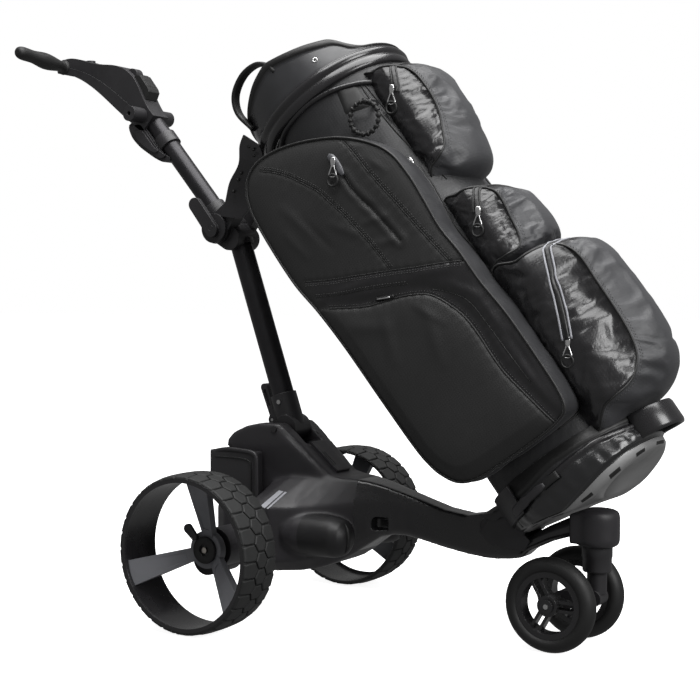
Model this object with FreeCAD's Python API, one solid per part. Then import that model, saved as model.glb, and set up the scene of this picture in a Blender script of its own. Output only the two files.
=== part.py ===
import FreeCAD, Part
import math, os
from FreeCAD import Vector as V

# Electric golf trolley with a cart bag. Millimetres, +Z up, +X forward to the swivelling
# front wheels, +Y to the trolley's left. Everything is drawn from the rear axle (X = 0) and
# shifted on export so that X = 0 becomes the middle of the overall length.
os.makedirs("parts", exist_ok=True)

SHIFT_X = -109.3           # rear axle's X in the library frame

# driving wheels
REAR_R, REAR_W = 135.0, 88.5      # over the lugs, tyre width
REAR_OUT = 293.5                  # half the overall width
REAR_IN = REAR_OUT - REAR_W
BARREL_R, BARREL_T = 128.0, 3.0   # rim barrel outside radius and wall
SHAFT_R, RUN = 6.0, 0.05          # drive shaft and running clearance
# front wheels and caster
FRONT_R, FRONT_W, FRONT_Y = 76.5, 34.0, 60.0
FRONT_X, CASTER_X = 559.0, 613.0
FRONT_RIM = 54.5
STEM_R, COLLAR_R = 12.0, 23.5
# housing
SPLIT_Z = 200.0
WALL = 3.0
PIN_R = 6.0
# mast and handle
FOOT = V(25, 0, 328)              # fold axis of the mast
MAST_DIR = V(-0.327, 0, 0.945)
MAST_R, MAST_LEN = 20.0, 356.0
ELBOW = V(-116, 0, 688)           # handle elbow axis
TUBE_END = V(-292, 0, 892)        # where the upper tube enters the console
TUBE_DIR = (TUBE_END - ELBOW).normalize()
TUBE_UP = V(TUBE_DIR.z, 0, -TUBE_DIR.x)
TUBE_R = 17.5
BAR_Z = 1015.0                    # height of the T-bar handle
# bag: base centre, lean back from the vertical, oval barrel
BAG_BASE = V(585, 0, 270)
BAG_LEAN = 36.5

X_, Y_, Z_ = V(1, 0, 0), V(0, 1, 0), V(0, 0, 1)
NODES = {}


def add(name, shape):
    NODES[name] = shape


def cyl(r, p, q):
    return Part.makeCylinder(r, (q - p).Length, p, q - p)


def ycyl(r, x, z, y0, y1):
    return Part.makeCylinder(r, y1 - y0, V(x, y0, z), Y_)


def box(x0, x1, y0, y1, z0, z1):
    return Part.makeBox(x1 - x0, y1 - y0, z1 - z0, V(x0, y0, z0))


def face_xz(pts, y):
    return Part.Face(Part.makePolygon([V(x, y, z) for x, z in pts + pts[:1]]))


def prism(pts, y0, y1):
    """Polygon in XZ swept along Y."""
    return face_xz(pts, y0).extrude(V(0, y1 - y0, 0))


def curved(runs, y0, y1):
    """Closed XZ outline of straight and splined runs, swept along Y."""
    edges = []
    for kind, pts in runs:
        vs = [V(x, y0, z) for x, z in pts]
        if kind == "line":
            edges += [Part.LineSegment(a, b).toShape() for a, b in zip(vs, vs[1:])]
        else:
            c = Part.BSplineCurve()
            c.interpolate(vs)
            edges.append(c.toShape())
    return Part.Face(Part.Wire(edges)).extrude(V(0, y1 - y0, 0))


def fuse(*shapes):
    s = shapes[0].multiFuse(list(shapes[1:]))
    return s.removeSplitter()


def mirror(shape):
    return shape.mirror(V(0, 0, 0), Y_)


def pair(name, right):
    """A right-hand piece and its mirror image."""
    add(name + "_right", right)
    add(name + "_left", mirror(right))


def both(name, right):
    """Two identical pieces of one body, one on each side, in one node."""
    add(name, Part.makeCompound([right, mirror(right)]))


def round_edges(shape, r, axis):
    """Fillet the edges that run parallel to an axis."""
    es = [e for e in shape.Edges if e.Length > 2 * r and len(e.Vertexes) == 2
          and abs(abs((e.Vertexes[1].Point - e.Vertexes[0].Point).normalize().dot(axis)) - 1) < 1e-6]
    return shape.makeFillet(r, es)


def link(p, q, rp, rq, y0, y1):
    """Flat link in XZ: two round ends joined by their common tangents."""
    d = q - p
    a, b = math.atan2(d.z, d.x), math.acos((rp - rq) / d.Length)
    pts = []
    for s, c, r in ((1, p, rp), (1, q, rq), (-1, q, rq), (-1, p, rp)):
        pts.append((c.x + r * math.cos(a + s * b), c.z + r * math.sin(a + s * b)))
    return fuse(prism(pts, y0, y1), ycyl(rp, p.x, p.z, y0, y1), ycyl(rq, q.x, q.z, y0, y1))


# ---------------------------------------------------------------- driving wheels
def ring(ro, ri, y0, y1, z):
    return ycyl(ro, 0, z, y0, y1).cut(ycyl(ri, 0, z, y0 - 1, y1 + 1))


yo, yi = -REAR_OUT, -REAR_IN
prof = [(BARREL_R, yo + 1), (REAR_R - 4, yo), (REAR_R, yo + 7),
        (REAR_R, yi - 7), (REAR_R - 4, yi), (BARREL_R, yi - 1)]
tyre = Part.Face(Part.makePolygon([V(0, y, REAR_R + r) for r, y in prof + prof[:1]]))
pair("rear_tyre", tyre.revolve(V(0, 0, REAR_R), Y_, 360))

barrel = ring(BARREL_R - 0.02, BARREL_R - BARREL_T, yo + 1, yi - 1, REAR_R)
lip = ring(BARREL_R - 0.02, BARREL_R - 7, yo + 1, yo + 5, REAR_R)
pair("rear_rim", fuse(barrel, lip))

HUB_R = 23.0
hub = ycyl(HUB_R, 0, REAR_R, yi - 24, yi - 1).cut(ycyl(9, 0, REAR_R, yi - 25, yi - 21))
bolt = ycyl(5.5, 0, REAR_R, yi - 24, yi - 20).cut(ycyl(2.6, 0, REAR_R, yi - 25, yi - 22))
pair("rear_hub", fuse(hub, ycyl(SHAFT_R - 0.01, 0, REAR_R, yi - 20, yi + 45), bolt))

spokes = []
for a in (80, 200, 320):
    inner = [V(HUB_R - 1, -10.5, 0), V(HUB_R - 1, 10.5, 0), V(HUB_R - 1, 10.5, 13), V(HUB_R - 1, -10.5, 13)]
    outer = [V(BARREL_R, -22.5, 56), V(BARREL_R, 22.5, 56), V(BARREL_R, 22.5, 72), V(BARREL_R, -22.5, 72)]
    arm = Part.makeLoft([Part.makePolygon(w + w[:1]) for w in (inner, outer)], True)
    r0, r1 = HUB_R + 14, BARREL_R - 14
    inner = [V(r0, -6, 19.9), V(r0, 6, 19.9), V(r0, 6, 30), V(r0, -6, 30)]
    outer = [V(r1, -16, 64.8), V(r1, 16, 64.8), V(r1, 16, 80), V(r1, -16, 80)]
    arm = arm.cut(Part.makeLoft([Part.makePolygon(w + w[:1]) for w in (inner, outer)], True))
    arm.Placement = FreeCAD.Placement(V(0, yi - 6, REAR_R), FreeCAD.Rotation(X_, 90))
    arm.rotate(V(0, 0, REAR_R), Y_, -a)
    spokes.append(arm)
shell = ring(BARREL_R - BARREL_T - 0.02, HUB_R + 0.02, yo + 5.1, yi - 1, REAR_R)
web = ring(HUB_R + 9, HUB_R + 0.02, yi - 20, yi - 6, REAR_R)
pair("rear_spokes", fuse(web, *spokes).common(shell))

latch = link(V(-18, 0, 157), V(-31, 0, 170), 6, 8, yi - 30, yi - 24.3)
pair("wheel_latch", fuse(latch, ycyl(3, -18, 157, yi - 25, yi - 20.1)))

# ---------------------------------------------------------------- housing
def lower_shell(t):
    """Lower housing, inset by t."""
    side = [(-76 + t, 118), (-58 + t, 94 + t), (0, 84 + t), (105, 86 + t), (142, 95 + t), (186 - t, 122 + t),
            (186 - t, SPLIT_Z - t), (-78 + t, SPLIT_Z - t)]
    plan = [(-78 + t, -96 + t), (-50, -124 + t), (95, -124 + t), (186 - t, -40 + t),
            (186 - t, 40 - t), (95, 124 - t), (-50, 124 - t), (-78 + t, 96 - t)]
    w = Part.makePolygon([V(x, y, 60) for x, y in plan + plan[:1]])
    return prism(side, -130, 130).common(Part.Face(w).extrude(V(0, 0, 160)))


def dome(t):
    """Upper housing, inset by t: arched centre with a flare down to the lower shell."""
    arch = [(-70 + t, SPLIT_Z - 1), (-70 + t, 289), (-82 + t, 292), (-80 + t, 304 - t), (-64, 318 - t),
            (-22, 336 - t), (34, 338 - t), (52, 322 - t), (134 - t, 252 - t), (186 - t, 244 - t),
            (186 - t, SPLIT_Z - 1)]
    core = prism(arch, -60 + t, 60 - t)
    plan = [(70 - t, -70), (192, -40 + t), (192, 40 - t), (70 - t, 70), (-90, 70), (-90, -70)]
    w = Part.makePolygon([V(x, y, 190) for x, y in plan + plan[:1]])
    core = core.common(Part.Face(w).extrude(V(0, 0, 200)))
    low = [(14 + t, -118 + t), (96, -118 + t), (185 - t, -40 + t),
           (185 - t, 40 - t), (96, 118 - t), (14 + t, 118 - t)]
    top = [(14 + t, -59 + t), (68, -59 + t), (150, -38 + t), (150, 38 - t), (68, 59 - t), (14 + t, 59 - t)]
    ws = [Part.makePolygon([V(x, y, z) for x, y in p + p[:1]])
          for p, z in ((low, SPLIT_Z - 1), (top, 242 - t))]
    s = core.fuse(Part.makeLoft(ws, True))
    return s.common(box(-200, 300, -200, 200, SPLIT_Z + 0.05, 400))


POD = V(100, -88, 151)
pod = cyl(37, POD, V(190, -88, 151))
pods = fuse(pod, mirror(pod))
low = lower_shell(0).cut(lower_shell(WALL)).cut(pods)
low = low.cut(ycyl(20, 0, REAR_R, -140, 140))
add("housing_lower", low)
dish = cyl(31, V(181, -88, 151), V(191, -88, 151))
cup = cyl(34, V(103, -88, 151), V(172, -88, 151))
pod = pod.cut(dish).cut(cup)
both("motor_pods", pod.makeFillet(3, [e for e in pod.Edges if e.BoundBox.XMin > 189
                                       and e.BoundBox.YLength > 70]))

well = box(-34, 110, -27, 27, FOOT.z - 28, 400)
liner = box(-36.5, 112, -29.5, 29.5, FOOT.z - 30.5, 400).common(dome(0))
upper = dome(0).cut(dome(WALL)).fuse(liner).removeSplitter()
upper = upper.cut(well).cut(ycyl(PIN_R + 0.02, FOOT.x, FOOT.z, -70, 70))
add("housing_upper", upper)
add("mast_pivot_pin", ycyl(PIN_R, FOOT.x, FOOT.z, -61.5, 61.5))

slope = V(134 - 52, 0, 252 - 322).normalize()
out = V(-slope.z, 0, slope.x)
strip = Part.makeBox(74, 52, 4)
for i in range(7):
    strip = strip.cut(Part.makeBox(3.5, 40, 3, V(7 + i * 9.5, 6, 2)))
strip.Placement = FreeCAD.Placement(V(76, -26, 302.1), FreeCAD.Rotation(slope, Y_, out))
strip.translate(out * 0.2)
add("cover_strip", strip)

# saddle-shaped battery around the back of the arch, drawn off rearwards
batt = box(-98, 10, -86, 86, SPLIT_Z + 0.3, 288)
batt = batt.makeFillet(6, [e for e in batt.Edges if e.BoundBox.XMax < -97 and e.BoundBox.ZLength > 80])
batt = batt.cut(box(-70.5, 20, -60.4, 60.4, 150, 400))
lip = fuse(box(2, 10, -90, -86, SPLIT_Z + 0.3, 292), box(2, 10, 86, 90, SPLIT_Z + 0.3, 292))
add("battery_case", fuse(batt, lip))

tilt = math.degrees(math.atan2(242 - SPLIT_Z, 59))
accent = Part.makeBox(42, 10, 1.6, V(-21, -5, 0))
accent.Placement = FreeCAD.Placement(V(52, -89, 220.9), FreeCAD.Rotation(X_, tilt))
accent.translate(V(0, -0.58, 0.82) * 0.3)
both("accent_strips", accent)

gear = fuse(ycyl(34, 0, REAR_R, -199, -124.2), ycyl(28, -24, 112, -192, -124.2))
gear = gear.cut(ycyl(SHAFT_R + RUN, 0, REAR_R, -210, -150)).cut(ycyl(22, 0, REAR_R, -150, -120))
both("gearboxes", gear)

# ---------------------------------------------------------------- frame arm and front caster
ARM_Y = 29.0
arm = curved([("spline", [(186.1, 124), (241, 159), (276, 156), (363, 139), (441, 132), (493, 147),
                          (540, 169)]),
              ("line", [(540, 169), (576, 182), (576, 215), (503, 173), (492, 174), (452, 229)]),
              ("spline", [(452, 229), (428, 211), (389, 199), (345, 205), (276, 226), (186.1, 243)]),
              ("line", [(186.1, 243), (186.1, 124)])], -ARM_Y, ARM_Y)
core = curved([("spline", [(192, 140), (241, 172), (276, 168), (363, 151), (441, 144), (480, 147)]),
               ("line", [(480, 147), (462, 178), (428, 196)]),
               ("spline", [(428, 196), (389, 187), (345, 192), (276, 213), (192, 230)]),
               ("line", [(192, 230), (192, 140)])], -ARM_Y + 4, ARM_Y - 4)
add("frame_arm", arm.cut(core))

head = round_edges(box(576.1, 651, -36, 36, 164, 224), 16, Z_)
head = fuse(Part.makeCylinder(35, 62, V(CASTER_X, 0, 160)), head).common(box(500, 648, -60, 60, 160, 224))
head = head.cut(prism([(560, 209), (608, 230), (560, 260)], -60, 60))
head = head.cut(Part.makeCylinder(STEM_R + 6, 42, V(CASTER_X, 0, 159)))
add("caster_head", head)
collar = Part.makeCylinder(COLLAR_R, 34, V(CASTER_X, 0, 126))
bush = Part.makeCylinder(STEM_R + 5.9, 40, V(CASTER_X, 0, 160))
stem_bore = Part.makeCylinder(STEM_R + RUN, 90, V(CASTER_X, 0, 120))
add("caster_collar", fuse(collar, bush).cut(stem_bore))

leg = link(V(CASTER_X, 0, 84), V(FRONT_X, 0, FRONT_R), 13, 15, -17, 17)
fork = fuse(Part.makeCylinder(STEM_R, 120, V(CASTER_X, 0, 78)), leg,
            Part.makeCylinder(16, 34, V(CASTER_X, 0, 91)))
add("caster_fork", fork.cut(ycyl(SHAFT_R, FRONT_X, FRONT_R, -30, 30)))

f0, f1 = -FRONT_Y - FRONT_W / 2, -FRONT_Y + FRONT_W / 2


def fring(ro, ri, y0, y1):
    return ycyl(ro, FRONT_X, FRONT_R, y0, y1).cut(ycyl(ri, FRONT_X, FRONT_R, y0 - 1, y1 + 1))


section = [(f0 + 4, FRONT_RIM), (f0, 62), (f0 + 4, 71), (-FRONT_Y, FRONT_R),
           (f1 - 4, 71), (f1, 62), (f1 - 4, FRONT_RIM)]
sec = [V(FRONT_X, y, FRONT_R + r) for y, r in section]
c = Part.BSplineCurve()
c.interpolate(sec)
w = Part.Wire([c.toShape(), Part.LineSegment(sec[-1], sec[0]).toShape()])
pair("front_tyre", Part.Face(w).revolve(V(FRONT_X, 0, FRONT_R), Y_, 360))
rim = fring(FRONT_RIM - 0.02, 45, f0 + 4, f1 - 4)
ribs = []
for a in (0, 120, 240):
    for s in (-7, 7):
        rib = box(12, 48, -FRONT_Y - 9, -FRONT_Y + 9, s - 2.5, s + 2.5)
        rib.translate(V(FRONT_X, 0, FRONT_R))
        rib.rotate(V(FRONT_X, 0, FRONT_R), Y_, a)
        ribs.append(rib)
rim = fuse(rim, fring(17, 1, -FRONT_Y - 14, -FRONT_Y + 14), *ribs)
pair("front_rim", rim.cut(ycyl(SHAFT_R + RUN, FRONT_X, FRONT_R, -100, 0)))
cap = fuse(ycyl(4, FRONT_X, FRONT_R, -80, -77), ycyl(11, FRONT_X, FRONT_R, -78, -74.3))
add("front_axle", fuse(ycyl(SHAFT_R - 0.01, FRONT_X, FRONT_R, -77, 77), cap, mirror(cap)))

# ---------------------------------------------------------------- mast
top = FOOT + MAST_DIR * MAST_LEN
foot = fuse(cyl(24, FOOT + MAST_DIR * 2, FOOT + MAST_DIR * 62), ycyl(23, FOOT.x, FOOT.z, -25, 25))
ear = link(V(-6, 0, 352), V(-11, 0, 340), 8, 8, 8, 13)
foot = fuse(foot, ear, mirror(ear)).cut(cyl(MAST_R + 0.02, FOOT + MAST_DIR * 26, FOOT + MAST_DIR * 90))
foot = foot.cut(ycyl(PIN_R + RUN, FOOT.x, FOOT.z, -40, 40))
add("mast_collar", foot.cut(ycyl(3.0, -11, 340, -20, 20)))
mast = cyl(MAST_R, FOOT + MAST_DIR * 27, top).cut(cyl(MAST_R - 2.5, FOOT + MAST_DIR * 20, top + MAST_DIR))
ahead = V(MAST_DIR.z, 0, -MAST_DIR.x) * 21.5
groove = cyl(4, FOOT + MAST_DIR * 20 + ahead, top + MAST_DIR * 5 + ahead)
add("lower_mast", mast.cut(groove))

lever = link(V(-11, 0, 340), V(-33, 0, 398), 6, 7, -7.5, 7.5)
lever = lever.cut(link(V(-21, 0, 366), V(-31, 0, 392), 2.6, 2.6, -10, 10))
add("mast_release_lever", lever.cut(ycyl(2.6 + RUN, -11, 340, -20, 20)))
screw = ycyl(4, 12, 374, -26.6, -25)
add("collar_fasteners", Part.makeCompound([ycyl(2.6, -11, 340, -13.5, 13.5), screw, mirror(screw)]))

cast = fuse(cyl(24.5, top - MAST_DIR * 8, top + MAST_DIR * 2),
            ycyl(28, ELBOW.x, ELBOW.z, -43, 43), link(ELBOW, top + MAST_DIR * 6, 26, 22, -33, 33),
            link(ELBOW, V(-62, 0, 742), 24, 14, -43, -18), link(ELBOW, V(-62, 0, 742), 24, 14, 18, 43))
cast = cast.cut(fuse(ycyl(27.5, ELBOW.x, ELBOW.z, -22.55, 22.55),
                     link(ELBOW, V(-190, 0, 680), 27.5, 50, -22.55, 22.55),
                     cyl(24, ELBOW + TUBE_DIR * 8, ELBOW + TUBE_DIR * 90)))
cast = cast.cut(cyl(MAST_R + 0.02, top - MAST_DIR * 60, top + MAST_DIR * 0.02))
spigot = cyl(MAST_R - 2.6, top - MAST_DIR * 45, top + MAST_DIR * 1)      # holds the casting inside the mast
cast = fuse(cast, spigot.cut(ycyl(27.5, ELBOW.x, ELBOW.z, -22.55, 22.55)))
cast = cast.cut(ycyl(5.02, ELBOW.x, ELBOW.z, -60, 60))
for x, z in ((-84, 735), (-72, 727), (-78, 719), (-66, 742)):
    cast = cast.cut(ycyl(2.4, x, z, -60, 60))
add("elbow_casting", cast)
add("elbow_bolt", fuse(ycyl(5, ELBOW.x, ELBOW.z, -58, 44), ycyl(9, ELBOW.x, ELBOW.z, 43.02, 48)))

# ---------------------------------------------------------------- handle
knuckle = fuse(ycyl(25, ELBOW.x, ELBOW.z, -22.5, 22.5),
               cyl(22, ELBOW + TUBE_DIR * 10, ELBOW + TUBE_DIR * 56))
knuckle = knuckle.cut(cyl(TUBE_R + 0.02, ELBOW + TUBE_DIR * 34, ELBOW + TUBE_DIR * 90))
add("handle_knuckle", knuckle.cut(ycyl(5 + RUN, ELBOW.x, ELBOW.z, -60, 60)))
tube = cyl(TUBE_R, ELBOW + TUBE_DIR * 35, TUBE_END + TUBE_DIR * 40)
tube = tube.cut(cyl(TUBE_R - 2, ELBOW + TUBE_DIR * 34, TUBE_END + TUBE_DIR * 41))
add("upper_tube", tube)

paddle = link(ELBOW + V(0, 0, -4), ELBOW + TUBE_DIR * 58, 13, 12.5, -58, -48)
boss = ycyl(27, ELBOW.x, ELBOW.z, -50, -43.2)
add("cam_lever", fuse(paddle, boss).cut(ycyl(5 + RUN, ELBOW.x, ELBOW.z, -70, -40)))

CON_Y = 22.0
upper_run = [(-515, 1027), (-490, 1031), (-423, 1015), (-366, 1006), (-330, 983), (-298, 930), (-278, 906)]
mid_run = [(-526, 1016), (-450, 1000), (-400, 974), (-345, 935), (-292, 892)]
lower_run = [(-522, 1004), (-457, 985), (-408, 953), (-365, 919), (-332, 894), (-307, 876)]
socket = cyl(TUBE_R + 0.02, TUBE_END - TUBE_DIR * 10, TUBE_END + TUBE_DIR * 40.02)
STUB = V(-308, 0, 908)
stub_bore = ycyl(14.52, STUB.x, STUB.z, -30, -19.5)
stub_bore = fuse(stub_bore, mirror(stub_bore))
DIAL = V(-343, 0, 988)
dial_slot = fuse(ycyl(14.5, DIAL.x, DIAL.z, -9.5, 9.5), ycyl(3 + RUN, DIAL.x, DIAL.z, -15.1, 15.1))
BUTTON_X = -455
bar = ycyl(8, -506, BAR_Z, -150, 150)
top_half = curved([("spline", upper_run), ("line", [upper_run[-1], mid_run[-1]]), ("spline", mid_run[::-1]),
                   ("line", [mid_run[0], upper_run[0]])], -CON_Y, CON_Y)
low_half = curved([("spline", mid_run), ("line", [mid_run[-1], lower_run[-1]]), ("spline", lower_run[::-1]),
                   ("line", [lower_run[0], mid_run[0]])], -CON_Y, CON_Y)
top_half = top_half.cut(socket).cut(stub_bore).cut(dial_slot).cut(ycyl(8.02, -506, BAR_Z, -30, 30))
add("console_upper", top_half.cut(Part.makeCylinder(9 + RUN, 80, V(BUTTON_X, 0, 1006))))
stub = ycyl(14.5, STUB.x, STUB.z, -59, -19.6).cut(ycyl(4, STUB.x, STUB.z, -60, -39))
low_half = low_half.cut(socket).cut(dial_slot).cut(ycyl(8.02, -506, BAR_Z, -30, 30))
add("console_lower", fuse(low_half, stub, mirror(stub)))
add("speed_dial", fuse(ycyl(13.5, DIAL.x, DIAL.z, -9, 9), ycyl(3, DIAL.x, DIAL.z, -15, 15)))
add("power_button", Part.makeCylinder(9, 18, V(BUTTON_X, 0, 1008)))
sections = ((22.05, 15, 0), (60, 14.4, 3), (100, 13.6, 6.2), (140, 12.6, 9.4), (152, 10.5, 10.2),
            (157, 4, 10.5))
rings = [Part.Wire([Part.makeCircle(r, V(-506 + 0.7 * h, -y, BAR_Z + h), Y_)]) for y, r, h in sections]
grip = Part.makeLoft(rings, True)
add("handle_grips", fuse(ycyl(8, -506, BAR_Z, -24, 24), grip, mirror(grip)))


def along_tube(t, n):
    p = TUBE_END + TUBE_DIR * t + TUBE_UP * n
    return (p.x, p.z)


hold = [along_tube(t, n) for t, n in ((-62, -17.6), (-30, -17.6), (-30, -24), (30, -40), (40, -46), (28, -58),
                                      (-50, -42))]
holder = prism(hold, -18, 18)
clamp = cyl(21.5, TUBE_END - TUBE_DIR * 58, TUBE_END - TUBE_DIR * 34).cut(
    cyl(TUBE_R + 0.02, TUBE_END - TUBE_DIR * 70, TUBE_END))
add("accessory_holder", fuse(holder.cut(cyl(TUBE_R + 0.02, TUBE_END - TUBE_DIR * 90, TUBE_END)), clamp))

# ---------------------------------------------------------------- bag, drawn upright then leaned back
def oval(cu, ru, rv, s):
    e = Part.Ellipse(V(0, 0, 0), max(ru, rv), min(ru, rv)).toShape()
    if rv > ru:
        e.rotate(V(0, 0, 0), Z_, 90)
    e.translate(V(cu, 0, s))
    return Part.Wire([e])


def hull(sections, grow=0.0):
    return Part.makeLoft([oval(cu, ru + grow, rv + grow, s) for s, cu, ru, rv in sections], True)


def lean(shape):
    shape = shape.copy()
    shape.rotate(V(0, 0, 0), Y_, -BAG_LEAN)
    shape.translate(BAG_BASE)
    return shape


BARREL = [(46, 6, 133, 122), (300, 3, 135, 124), (560, 1, 139, 129), (757, 0, 143, 132)]
LINER = 3.0
middle_run = [(s, cu, ru - LINER, rv - LINER) for s, cu, ru, rv in BARREL[1:-1]]
lining = hull([(40, 6, 130, 119)] + middle_run + [(760, 0, 140, 129)])
wall = lean(hull(BARREL).cut(lining))

# moulded base: a short cup with a rounded keel underneath and a carrying loop at the front
BASE = [(-50, 13, 134, 122), (-20, 13, 139, 128), (45.9, 8, 138, 127)]
cup = fuse(hull(BASE[:2]), hull(BASE[1:]))
keel = [(-160, -18), (-128, -22), (-88, -26), (-47, -32), (0, -42), (48, -42), (97, -33), (136, -25),
        (200, -16)]
under = curved([("spline", keel), ("line", [keel[-1], (200, -200), (-160, -200), keel[0]])], -300, 300)
inside = hull([(-50, 13, 130, 118), (60, 8, 131, 120)]).cut(under.translated(V(0, 0, 5)))
loop = hull([(2, 154, 46, 50), (34, 154, 46, 50)]).cut(hull([(0, 154, 39, 43), (40, 154, 39, 43)]))
loop = loop.cut(hull([(-60, 12.5, 137, 126), (60, 8, 136, 125)]))
add("bag_base", lean(fuse(cup.cut(under).cut(inside), loop)))

# the rim is highest at the middle of each side, falls towards the back and steps down at the front
rim_cut = prism([(-220, 812), (-140, 836), (-60, 864), (-16, 873), (57, 851), (93, 837), (106, 812), (116, 796), (200, 786),
                 (200, 1000), (-220, 1000)], -300, 300)
collar_o = [(757.1, -5, 152, 139), (770, -6, 155, 141), (786, -6, 155, 141), (790, -6, 151, 138),
            (900, -12, 138, 124)]
collar_in = [(750, -5, 143, 130), (786, -6, 142, 129), (900, -12, 129, 115)]
collar = [hull(collar_o[i:i + 2]) for i in range(4)]
add("bag_collar", lean(fuse(*collar).cut(fuse(hull(collar_in[:2]), hull(collar_in[1:]))).cut(rim_cut)))
cross = fuse(box(-139, 139, -2, 2, 520, 800), box(-44, -40, -127, 127, 520, 800),
             box(44, 48, -127, 127, 520, 800))
inside = fuse(hull([(500, 1, 134, 124), (756, 0, 139.5, 128.5)]),
              hull([(756, -3, 136, 124), (830, -9, 132, 119)]))
add("bag_divider", lean(cross.common(inside)))


def pocket(outline, depth, shrink):
    """Puffed pocket: outline (u, s) at the root and a smaller one at the face, lofted along -v."""
    n = len(outline)
    cu, cs = sum(p[0] for p in outline) / n, sum(p[1] for p in outline) / n
    ws = []
    for v, k in zip(depth, shrink):
        c = Part.BSplineCurve()
        c.interpolate([V(cu + (u - cu) * k, v, cs + (s - cs) * k) for u, s in outline], True)
        ws.append(Part.Wire([c.toShape()]))
    return Part.makeLoft(ws, True)


side = [(-133, 733), (-162, 712), (-178, 656), (-177, 526), (-166, 456), (-158, 378), (-152, 272),
        (-146, 180), (-138, 126), (-118, 92), (-90, 76), (-20, 72), (60, 70), (86, 84), (92, 200), (95, 400),
        (96, 500), (84, 588), (46, 655), (8, 690), (-50, 716), (-104, 733)]
side_pocket = pocket(side, (-84, -140, -160), (1.0, 1.0, 0.9))
side_pocket = side_pocket.cut(hull([(40, 6, 133, 122)] + BARREL[1:], 0.1))
both("side_pockets", lean(side_pocket))
beside = box(0, 98.5, 83.5, 200, 0, 800)      # room the side pockets take next to the front ones
beside = Part.makeCompound([beside, mirror(beside)])
sides = Part.makeCompound([side_pocket, mirror(side_pocket)])


def front_pocket(outline, half):
    """Pocket on the bag's front: outline (u, s) seen from the side, narrowing forwards like a wedge."""
    n = len(outline)
    cu, cs = min(p[0] for p in outline), sum(p[1] for p in outline) / n
    ws = []
    for share, k in ((-1, 0.55), (-0.86, 0.8), (-0.6, 0.96), (0, 1), (0.6, 0.96), (0.86, 0.8), (1, 0.55)):
        c = Part.BSplineCurve()
        c.interpolate([V(cu + (u - cu) * k, share * half, cs + (s - cs) * (0.8 + 0.2 * k))
                       for u, s in outline], True)
        ws.append(Part.Wire([c.toShape()]))
    return Part.makeLoft(ws, True).cut(hull(BARREL, 0.1)).cut(beside).cut(sides).cut(cup)


upper = [(90, 560), (130, 532), (160, 545), (174, 580), (182, 640), (180, 700), (160, 736), (120, 745),
         (90, 700)]
mid = [(90, 345), (130, 325), (168, 330), (184, 355), (186, 420), (174, 472), (150, 498), (110, 500),
       (90, 470)]
lower = [(90, 80), (130, 50), (184, 50), (214, 74), (230, 122), (234, 200), (229, 272), (208, 312),
         (150, 320), (90, 300)]
add("upper_pocket", lean(front_pocket(upper, 90)))
add("mid_pocket", lean(front_pocket(mid, 94)))
add("lower_pocket", lean(front_pocket(lower, 104)))

path = [V(-114, -92, 822), V(-126, -97, 872), V(-96, -102, 904), V(-42, -109, 904), V(-12, -119, 858)]
c = Part.BSplineCurve()
c.interpolate(path)
strap = Part.makeCircle(7.5, path[0], path[1] - path[0])
sweep = Part.Wire([c.toShape()]).makePipeShell([Part.Wire([strap])], True, False)
walls = fuse(*[hull(collar_o[i:i + 2], 0.2) for i in (1, 2, 3)]).cut(rim_cut.translated(V(0, 0, 0.2)))
add("bag_handle", lean(sweep.cut(walls)))


def bag_point(u, v, s):
    a = math.radians(BAG_LEAN)
    return BAG_BASE + V(u * math.cos(a) - s * math.sin(a), v, u * math.sin(a) + s * math.cos(a))


# zip pulls hang beside their zips; each swings outwards on its slider
PULLS = {"side": (7, -164, 632), "upper": (135, -94, 688), "mid": (143, -98, 427), "lower": (150, -109, 168)}
for name, (u, v, s) in PULLS.items():
    p = bag_point(u, v, s)
    pull = link(V(p.x, 0, p.z), V(p.x, 0, p.z - 14), 3, 3, p.y - 1.2, p.y + 1.2)
    eye = ycyl(10, p.x, p.z - 26, p.y - 1.2, p.y + 1.2).cut(ycyl(7, p.x, p.z - 26, p.y - 5, p.y + 5))
    add("zip_pull_" + name, fuse(pull, eye, cyl(1.4, p - X_ * 4, p + X_ * 4)))

# towel ring on a sleeve that turns in a stiff tab on the barrel
TAB = (99, -127, 690)
p = bag_point(*TAB)
sleeve = cyl(3.2, p - X_ * 6, p + X_ * 6)
add("towel_ring", fuse(Part.makeTorus(26, 2.6, V(p.x, p.y, p.z - 26), Y_), sleeve))
tab = box(p.x - 4, p.x + 4, p.y - 4.6, p.y + 36.8, p.z - 4.6, p.z + 4.6)
tab = tab.cut(cyl(3.25, p - X_ * 20, p + X_ * 20))
add("bag_barrel", fuse(wall, tab.cut(lean(hull(BARREL, -1)))))

# ---------------------------------------------------------------- cradles that hold the bag
def saddle(body, s0, s1, limit, gap, thick):
    """Band from s0 to s1 behind u = limit, standing off a body of the bag."""
    band = hull(body, gap + thick).cut(hull(body, gap))
    return band.common(box(-400, limit, -300, 300, s0, s1))


lower = lean(saddle(BASE[1:], -6, 44, -62, 1.5, 7))
outline = [(420, 176), (446, 214), (470, 226), (496, 190), (512, 172), (500, 152), (440, 158)]
plate = prism(outline, ARM_Y + 0.1, ARM_Y + 5.1)
bag_room = lean(fuse(hull(BASE[:2], 1.5), hull(BASE[1:], 1.5)))
plates = Part.makeCompound([plate, mirror(plate)]).cut(bag_room)
add("lower_cradle", fuse(lower, plates).cut(arm))

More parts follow.
